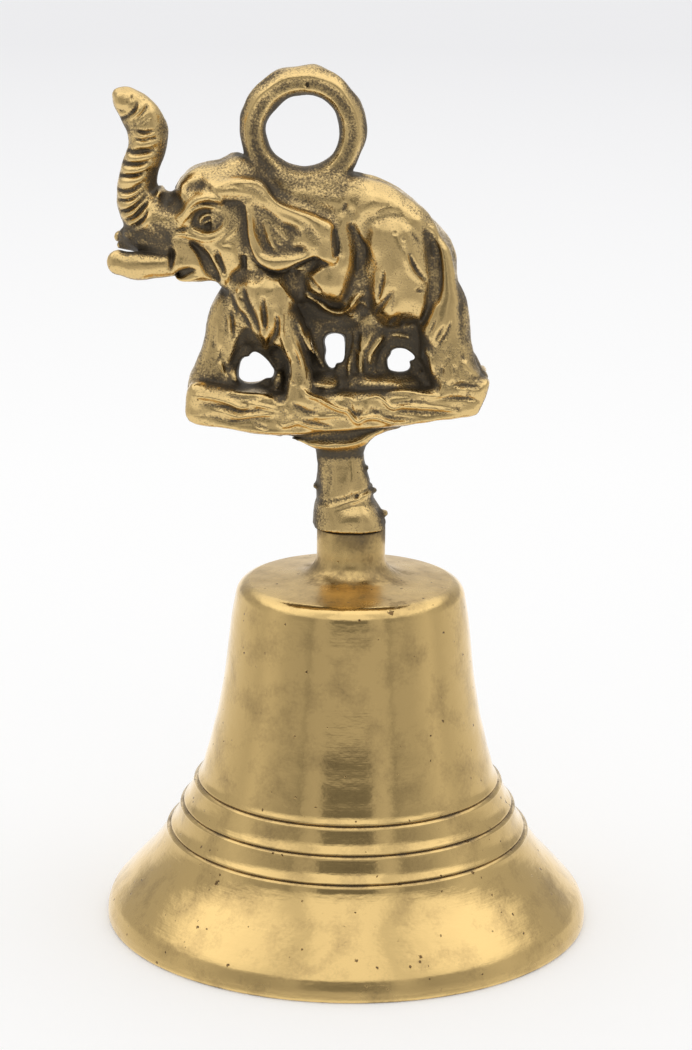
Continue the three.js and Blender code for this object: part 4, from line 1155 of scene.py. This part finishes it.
def bell_patina_and_shade(profile):
    """Grime gathers in the turned lines, around the neck, and over the unpolished inside. Painted shade
    darkens the lip, for the reflection of the shadow on the floor round it, and the seat of the stem on the
    neck.
    """
    radius, height = profile.T
    patina_and_shade = np.full(len(profile), CLEAN)
    outside = np.arange(len(profile)) < np.argmax(height)
    for line in TURNED_LINES:
        patina_and_shade += np.where(outside, LINE_GRIME * falloff(height - line, LINE_SPREAD), 0)
    corner = np.hypot(radius - NECK_CORNER[0], height - NECK_CORNER[1])
    patina_and_shade += np.where(outside, CORNER_GRIME * falloff(corner, CORNER_SPREAD), INSIDE_GRIME)
    patina_and_shade += np.where(outside & (height > CROWN_START), CROWN_GRIME, 0)
    # Painted shade: darker at the lip's foot and at the stem's seat on the neck
    patina_and_shade += RIM_PAINTED_SHADOW * falloff(height, RIM_SPREAD) + SEAT_SHADE * falloff(height - NECK_TOP, SEAT_SPREAD)
    return np.clip(patina_and_shade, 0, 1)


def bell_body():
    """The turned bell. Haze is the wear that roughens its lip and its crown."""
    profile = bell_wall()
    piece = make_piece("bell_wall", [turned(profile, BELL_SEGMENTS)], turned_brass, "bell_body", "bell")
    set_vertex_values(piece, np.repeat(bell_patina_and_shade(profile), BELL_SEGMENTS))
    lip = np.clip(1.5 - profile[:, 1] / 4, 0, 1)
    crown = (profile[:, 1] > 54) & (profile[:, 0] < 16)
    set_vertex_values(piece, np.repeat(LIP_HAZE * lip + CROWN_HAZE * crown, BELL_SEGMENTS), "haze")


# ---- Hardware and clapper --------------------------------------------------------------------------

EYE_Z = 41.0
EYE_RADIUS = 3.2
EYE_WIRE = 1.1
BOLT_RADIUS = 2.4
BOLT_TOP = 72.5
THREAD_PITCH = 0.7
WASHER_Z = (50.5, 51.5)
WASHER_RADIUS = 6.5
NUT_Z = (46.2, 50.2)
NUT_RADIUS = 4.6
WIRE = 0.9
LINK_Z = 36.1
LINK_RADIUS = 4.0
LOOP_Z = 31.6
LOOP_RADIUS = 2.6
BALL_Z = 9.6
BALL_RADIUS = 6.2
PEEN_Z = (2.1, 3.1)
PEEN_RADIUS = 1.7


def eyebolt():
    """A threaded shank with a closed eye at its foot."""
    turns = np.arange(EYE_Z + EYE_RADIUS + 1.2, BOLT_TOP - 0.8, THREAD_PITCH / 4)
    crest = 0.16 * (1 - np.abs(np.arange(len(turns)) % 4 - 2) / 2)
    neck = [
        [0.01, EYE_Z + EYE_RADIUS - 0.3], [1.5, EYE_Z + EYE_RADIUS - 0.2], [2.0, EYE_Z + EYE_RADIUS + 0.5],
    ]
    tip = [[BOLT_RADIUS - 0.8, BOLT_TOP], [0.01, BOLT_TOP]]
    shank = np.vstack([neck, np.stack([BOLT_RADIUS - crest, turns], axis=-1), tip])
    shells = [turned(shank, 48), tube(circle(EYE_RADIUS, EYE_Z), EYE_WIRE, closed=True)]
    piece = make_piece("eyebolt_brass", shells, hardware_brass, "eyebolt", "bell")
    set_vertex_values(piece, 0.35)


def crown_washer():
    low, high = WASHER_Z
    profile = [
        [BORE_RADIUS, low + 0.1], [BORE_RADIUS + 0.1, low], [WASHER_RADIUS - 0.25, low],
        [WASHER_RADIUS, low + 0.25], [WASHER_RADIUS, high - 0.25], [WASHER_RADIUS - 0.25, high],
        [BORE_RADIUS + 0.1, high], [BORE_RADIUS, high - 0.1],
    ]
    piece = make_piece("washer_brass", [turned(profile, 96)], hardware_brass, "crown_washer", "bell")
    set_vertex_values(piece, 0.3)


def crown_nut():
    """A hexagon whose corners are turned back at both ends."""
    low, high = NUT_Z
    sides, per_side = 6, 12
    angles = np.linspace(0, 2 * math.pi, sides * per_side, endpoint=False)
    flat = NUT_RADIUS * math.cos(math.pi / sides)
    within = (angles + math.pi / sides) % (2 * math.pi / sides) - math.pi / sides
    hexagon = flat / np.cos(within)
    outer_rows = [
        (low, flat - 0.2), (low + 0.3, NUT_RADIUS - 0.15), (low + 0.55, NUT_RADIUS),
        (high - 0.55, NUT_RADIUS), (high - 0.3, NUT_RADIUS - 0.15), (high, flat - 0.2),
    ]
    bore_rows = [
        (high, BORE_RADIUS + 0.3), (high - 0.3, BORE_RADIUS),
        (low + 0.3, BORE_RADIUS), (low, BORE_RADIUS + 0.3),
    ]

    def ring(radius, height):
        return np.stack([radius * np.cos(angles), radius * np.sin(angles), 0 * angles + height], axis=-1)

    rows = [ring(np.minimum(hexagon, limit), height) for height, limit in outer_rows]
    rows += [ring(radius, height) for height, radius in bore_rows]
    shell = np.vstack(rows), grid_faces(len(rows), len(angles), wrap_rows=True)
    piece = make_piece("nut_brass", [shell], hardware_brass, "crown_nut", "bell", smooth=False)
    set_vertex_values(piece, 0.3)


def clapper_link():
    path = circle(LINK_RADIUS, LINK_Z, across_x=True)
    piece = make_piece(
        "link_ring", [tube(path, WIRE, closed=True)], hardware_brass, "clapper_link", "clapper_link",
    )
    set_vertex_values(piece, 0.35)


def clapper_rod():
    """A wire bent into a loop at the top, passed through the ball and spread to a head below it."""
    bend = circle(LOOP_RADIUS, LOOP_Z, start=math.radians(205), sweep=math.radians(-352), steps=56)
    bottom = LOOP_Z - LOOP_RADIUS
    straight = [[0, 0, z] for z in np.linspace(PEEN_Z[1] - 0.3, bottom - 1.2, 16)]
    path = np.vstack([straight, [[-0.12, 0, bottom - 0.5]], bend])
    radii = np.full(len(path), WIRE)
    radii[-2:] = WIRE * 0.75, 0.02
    low, high = PEEN_Z
    head = [
        [0.01, high], [PEEN_RADIUS - 0.2, high], [PEEN_RADIUS, high - 0.25],
        [PEEN_RADIUS - 0.15, low + 0.35], [PEEN_RADIUS - 0.7, low + 0.05], [0.01, low],
    ]
    shells = [tube(path, radii), turned(head[::-1], 32)]
    piece = make_piece("rod_wire", shells, hardware_brass, "clapper_rod", "clapper")
    set_vertex_values(piece, 0.35)


def clapper_ball():
    """A ball turned with a bore through it for the rod."""
    bore = WIRE + 0.3
    reach = math.degrees(math.acos((bore + 0.3) / BALL_RADIUS))
    outside = arc((0, BALL_Z), BALL_RADIUS, -reach, reach, 48)
    ends = [[bore, outside[-1][1] - 0.2], [bore, outside[0][1] + 0.2]]
    profile = np.vstack([outside, ends])
    piece = make_piece("ball_brass", [turned(profile, 96)], turned_brass, "clapper_ball", "clapper")
    set_vertex_values(piece, 0.3)


# ---- Materials --------------------------------------------------------------------------------------


def material_tree(name):
    """A new material, its node tree and its shader."""
    material = bpy.data.materials.new(name)
    material.use_nodes = True
    tree = material.node_tree
    return material, tree, tree.nodes["Principled BSDF"]


def add_node(tree, kind, **settings):
    """A new node. Each setting is an input of that name, or else a property."""
    node = tree.nodes.new(kind)
    for key, value in settings.items():
        if key in node.inputs:
            node.inputs[key].default_value = value
        else:
            setattr(node, key, value)
    return node


def noise(tree, size, detail=3.0, stretch=(1, 1, 1)):
    """Noise with features of about this size, longer along an axis whose stretch is over 1."""
    place = add_node(tree, "ShaderNodeTexCoord")
    mapping = add_node(tree, "ShaderNodeMapping", Scale=[1 / s for s in stretch])
    texture = add_node(tree, "ShaderNodeTexNoise", Scale=1 / (size * MM), Detail=detail)
    tree.links.new(place.outputs["Object"], mapping.inputs["Vector"])
    tree.links.new(mapping.outputs["Vector"], texture.inputs["Vector"])
    return texture.outputs["Fac"]


def remap(tree, value, low, high, to_low, to_high):
    """The value moved from one range to another, and held at its ends."""
    node = add_node(tree, "ShaderNodeMapRange")
    for name, setting in [("From Min", low), ("From Max", high), ("To Min", to_low), ("To Max", to_high)]:
        node.inputs[name].default_value = setting
    tree.links.new(value, node.inputs["Value"])
    return node.outputs["Result"]


def math_node(tree, operation, a, b):
    node = add_node(tree, "ShaderNodeMath", operation=operation)
    for socket, value in zip(node.inputs, (a, b)):
        if isinstance(value, (int, float)):
            socket.default_value = value
        else:
            tree.links.new(value, socket)
    return node.outputs[0]


def mix_colour(tree, share, a, b):
    node = add_node(tree, "ShaderNodeMix", data_type="RGBA")
    tree.links.new(share, node.inputs["Factor"])
    for socket, value in zip((node.inputs[6], node.inputs[7]), (a, b)):
        if isinstance(value, tuple):
            socket.default_value = (*value, 1)
        else:
            tree.links.new(value, socket)
    return node.outputs[2]


def pits(tree, spacing, size):
    """1 in ragged pits scattered at about this spacing, in millimetres, and 0 elsewhere."""
    place = add_node(tree, "ShaderNodeTexCoord")
    cells = add_node(tree, "ShaderNodeTexVoronoi", Scale=1 / (spacing * MM))
    tree.links.new(place.outputs["Object"], cells.inputs["Vector"])
    chance = add_node(tree, "ShaderNodeSeparateColor")
    tree.links.new(cells.outputs["Color"], chance.inputs["Color"])
    reach = remap(tree, chance.outputs["Red"], 0.45, 1.0, 0.0, size / spacing)
    ragged = math_node(tree, "MULTIPLY", reach, remap(tree, noise(tree, 0.9 * size), 0.3, 0.7, 0.5, 1.5))
    gap = math_node(tree, "SUBTRACT", ragged, cells.outputs["Distance"])
    return remap(tree, gap, 0.0, 0.3 * size / spacing, 0.0, 1.0)


BRIGHT_BRASS = (0.80, 0.575, 0.255)
GOLDEN_BRASS = (0.81, 0.57, 0.235)
DULL_BRASS = (0.50, 0.365, 0.175)
REDDISH_BRASS = (0.54, 0.375, 0.16)
BROWN = (0.23, 0.17, 0.095)
# The darkest colour stands for grime, and for painted shade under overhangs and on downward walls
GRIME_AND_SHADE = (0.095, 0.076, 0.050)
SPOT = (0.2, 0.12, 0.05)
NOISE_SPAN = (0.3, 0.7)  # what the noise textures mostly lie between
DULL_FROM = (0.1, 0.45)  # values of patina, grime and painted shade where each colour starts and is full
BROWN_FROM = (0.34, 0.7)
GRIME_AND_SHADE_FROM = (0.58, 1.0)
ROUGHEST = 0.55
GRIME_AND_SHADE_METALLIC = 0.5
PIT_DEPTH = 0.1


def brass(
    name, polish, wear, grain, grain_height, pit_spacing, pit_size, bright, dulled, dark,
    patches=0.1, lines=0.0,
):
    """Brass that dulls and then darkens towards its recesses and where painted shade lies, with lengths in
    millimetres.

    Polish is its roughness where it is bright. Wear and patches are how far fine and broad noise move
    the colour. Lines is the height of the marks left by turning.
    """
    material, tree, shader = material_tree(name)
    patina_and_shade = add_node(tree, "ShaderNodeAttribute", attribute_name="patina_and_shade").outputs["Fac"]
    speckle = noise(tree, grain, 5.0)
    cloud = noise(tree, 5.0, 4.0)
    depth = math_node(tree, "ADD", patina_and_shade, remap(tree, speckle, *NOISE_SPAN, -wear, wear))
    depth = math_node(tree, "ADD", depth, remap(tree, cloud, *NOISE_SPAN, -patches, patches))
    dull = remap(tree, depth, *DULL_FROM, 0.0, 1.0)
    brown = remap(tree, depth, *BROWN_FROM, 0.0, 1.0)
    grime_and_shade = remap(tree, depth, *GRIME_AND_SHADE_FROM, 0.0, 1.0)
    small_pits = pits(tree, pit_spacing, pit_size)
    large_pits = pits(tree, 4 * pit_spacing, 2 * pit_size)
    pitted = math_node(tree, "MAXIMUM", small_pits, large_pits)
    colour = mix_colour(tree, dull, bright, dulled)
    colour = mix_colour(tree, brown, colour, BROWN)
    colour = mix_colour(tree, grime_and_shade, colour, dark)
    colour = mix_colour(tree, pitted, colour, SPOT)
    tree.links.new(colour, shader.inputs["Base Color"])
    haze = math_node(tree, "ADD", brown, remap(tree, cloud, *NOISE_SPAN, -0.1, 0.12))
    haze = math_node(
        tree, "ADD", haze, add_node(tree, "ShaderNodeAttribute", attribute_name="haze").outputs["Fac"],
    )
    tree.links.new(remap(tree, haze, 0.0, 1.0, polish, ROUGHEST), shader.inputs["Roughness"])
    tree.links.new(remap(tree, grime_and_shade, 0.0, 1.0, 1.0, GRIME_AND_SHADE_METALLIC), shader.inputs["Metallic"])
    unpolished = remap(tree, depth, 0.2, 0.6, 0.5 * grain_height, 1.6 * grain_height)
    height = math_node(tree, "MULTIPLY", speckle, unpolished)
    height = math_node(tree, "SUBTRACT", height, math_node(tree, "MULTIPLY", pitted, PIT_DEPTH))
    if lines:
        turning = noise(tree, 0.22, 2.0, stretch=(60, 60, 1))
        height = math_node(tree, "ADD", height, math_node(tree, "MULTIPLY", turning, lines))
        dents = noise(tree, 2.2, 3.0, stretch=(2, 2, 1))
        height = math_node(tree, "ADD", height, math_node(tree, "MULTIPLY", dents, 12 * lines))
    bump = add_node(tree, "ShaderNodeBump", Strength=1.0, Distance=MM)
    tree.links.new(height, bump.inputs["Height"])
    tree.links.new(bump.outputs["Normal"], shader.inputs["Normal"])
    return material


turned_brass = brass(
    "turned_brass", polish=0.13, wear=0.07, grain=0.5, grain_height=0.01, pit_spacing=1.6, pit_size=0.28,
    bright=GOLDEN_BRASS, dulled=REDDISH_BRASS, dark=BROWN, patches=0.22, lines=0.008,
)
cast_brass = brass(
    "cast_brass", polish=0.2, wear=0.32, grain=0.3, grain_height=0.045, pit_spacing=0.9, pit_size=0.12,
    bright=BRIGHT_BRASS, dulled=DULL_BRASS, dark=GRIME_AND_SHADE,
)
hardware_brass = brass(
    "hardware_brass", polish=0.28, wear=0.14, grain=0.5, grain_height=0.02, pit_spacing=2.5, pit_size=0.2,
    bright=BRIGHT_BRASS, dulled=DULL_BRASS, dark=GRIME_AND_SHADE,
)


# ---- Studio -----------------------------------------------------------------------------------------


FLOOR_REACH = 8.0  # metres to each side
FLOOR_FADE = (0.3, 1.3)  # metres from the bell where the painted pool of light starts to fade and is gone
# The floor's colour near the bell and far from it, a painted pool of light
FLOOR_NEAR = (0.92, 0.92, 0.92)
FLOOR_FAR = (0.82, 0.82, 0.835)
FLOOR_GLOW = (0.12, 0.07)  # painted glow of the floor, near and far


def studio_floor():
    """A pale floor painted as a pool of light: lighter and glowing near the bell, a little darker away from
    it.
    """
    points = [(x * FLOOR_REACH, y * FLOOR_REACH, 0) for x, y in [(-1, -1), (1, -1), (1, 1), (-1, 1)]]
    mesh = bpy.data.meshes.new("studio_floor")
    mesh.from_pydata(points, [], [(0, 1, 2, 3)])
    material, tree, shader = material_tree("floor_paper")
    place = add_node(tree, "ShaderNodeTexCoord")
    length = add_node(tree, "ShaderNodeVectorMath", operation="LENGTH")
    tree.links.new(place.outputs["Object"], length.inputs[0])
    away = remap(tree, length.outputs["Value"], *FLOOR_FADE, 0.0, 1.0)
    tree.links.new(mix_colour(tree, away, FLOOR_NEAR, FLOOR_FAR), shader.inputs["Base Color"])
    shader.inputs["Emission Color"].default_value = (1, 1, 1, 1)
    tree.links.new(remap(tree, away, 0.0, 1.0, *FLOOR_GLOW), shader.inputs["Emission Strength"])
    shader.inputs["Roughness"].default_value = 0.9
    shader.inputs["Specular IOR Level"].default_value = 0.1
    mesh.materials.append(material)
    floor = bpy.data.objects.new("studio_floor", mesh)
    bpy.context.scene.collection.objects.link(floor)
    floor.visible_glossy = False


# Brightness of the light tent by azimuth in degrees: 0 is the camera's side, and 90 the camera's right.
TENT_LOW = [
    (-180, 1.1), (-160, 1.1), (-140, 0.84), (-120, 0.72), (-92, 0.56), (-80, 0.66), (-60, 0.5), (-41, 0.46),
    (-39, 0.36), (-37, 0.36), (-35, 0.48), (0, 0.52), (35, 0.52), (37, 0.38), (39, 0.38), (41, 0.48),
    (60, 0.5), (80, 0.66), (92, 0.56), (120, 0.72), (140, 0.84), (160, 1.1), (180, 1.1),
]
TENT_WALL = [
    (-180, 0.7), (-165, 0.6), (-150, 0.5), (-125, 0.5), (-95, 0.54), (-80, 0.66), (-58, 0.44), (-44, 0.38),
    (-40, 0.38), (-39, 0.27), (-37, 0.27), (-36, 0.44), (-26, 0.52), (-21, 0.48), (-18, 0.2), (17, 0.2),
    (21, 0.5), (31, 0.58), (36, 0.42), (37, 0.27), (39, 0.27), (40, 0.38), (58, 0.44), (80, 0.66),
    (95, 0.54), (125, 0.5), (150, 0.5), (165, 0.6), (180, 0.7),
]
TENT_ROOF_RIGHT = [
    (24, 1.05), (31, 0.75), (42, 0.8), (50, 1.0), (62, 1.12), (85, 1.3), (105, 1.28), (125, 1.15), (180, 1.0),
]
TENT_ROOF = [(-angle, value) for angle, value in reversed(TENT_ROOF_RIGHT)] + TENT_ROOF_RIGHT
TENT_TOP = 1.3
TENT_TABLE = 0.95
WALL_START = (1, 9)  # elevations in degrees between which each part of the tent takes over
ROOF_START = (26, 38)
TOP_START = (66, 82)
TABLE_START = (-16, -30)


def tent_ramp(tree, azimuth, stops):
    """Brightness by azimuth, blended between the stops."""
    ramp = add_node(tree, "ShaderNodeValToRGB")
    elements = ramp.color_ramp.elements
    brightest = max(value for _, value in stops)
    while len(elements) < len(stops):
        elements.new(0.5)
    for element, (angle, value) in zip(elements, stops):
        element.position = 0.5 + angle / 360
        element.color = (value / brightest, value / brightest, value / brightest, 1)
    tree.links.new(azimuth, ramp.inputs["Fac"])
    return math_node(tree, "MULTIPLY", ramp.outputs["Color"], brightest)


def blend_values(tree, share, low, high):
    difference = math_node(tree, "SUBTRACT", high, low)
    return math_node(tree, "ADD", low, math_node(tree, "MULTIPLY", share, difference))


def studio_light():
    """A soft light tent: dim walls with a darker camera opening, and a bright roof in three panels."""
    world = bpy.data.worlds.new("studio")
    bpy.context.scene.world = world
    world.use_nodes = True
    tree = world.node_tree
    direction = add_node(tree, "ShaderNodeTexCoord").outputs["Generated"]
    parts = add_node(tree, "ShaderNodeSeparateXYZ")
    tree.links.new(direction, parts.inputs["Vector"])
    towards_camera = math_node(tree, "MULTIPLY", parts.outputs["Y"], -1.0)
    angle = math_node(tree, "ARCTAN2", parts.outputs["X"], towards_camera)
    azimuth = remap(tree, angle, -math.pi, math.pi, 0.0, 1.0)
    height = parts.outputs["Z"]

    def share(span):
        start, end = span
        return remap(tree, height, math.sin(math.radians(start)), math.sin(math.radians(end)), 0.0, 1.0)

    low, wall = tent_ramp(tree, azimuth, TENT_LOW), tent_ramp(tree, azimuth, TENT_WALL)
    light = blend_values(tree, share(WALL_START), low, wall)
    light = blend_values(tree, share(ROOF_START), light, tent_ramp(tree, azimuth, TENT_ROOF))
    light = blend_values(tree, share(TOP_START), light, TENT_TOP)
    light = blend_values(tree, share(TABLE_START), light, TENT_TABLE)
    tree.links.new(light, tree.nodes["Background"].inputs["Color"])


FOCAL_LENGTH = 107.383
EYE_PLACE = (-0.000815, -0.4695, 0.18685)
EYE_PITCH = math.radians(75.2855)
EYE_ROLL = math.radians(0.7232)


def camera():
    data = bpy.data.cameras.new("camera")
    data.lens = FOCAL_LENGTH
    data.sensor_width = 36.0
    data.clip_start, data.clip_end = 0.02, 20.0
    eye = bpy.data.objects.new("camera", data)
    eye.location = EYE_PLACE
    eye.rotation_mode = "QUATERNION"
    turn = Matrix.Rotation(EYE_PITCH, 3, "X") @ Matrix.Rotation(EYE_ROLL, 3, "Z")
    eye.rotation_quaternion = turn.to_quaternion()
    bpy.context.scene.collection.objects.link(eye)
    bpy.context.scene.camera = eye


bell_body()
elephant_handle()
eyebolt()
crown_washer()
crown_nut()
clapper_link()
clapper_rod()
clapper_ball()
studio_floor()
studio_light()
camera()
bpy.context.scene.view_settings.view_transform = "Standard"
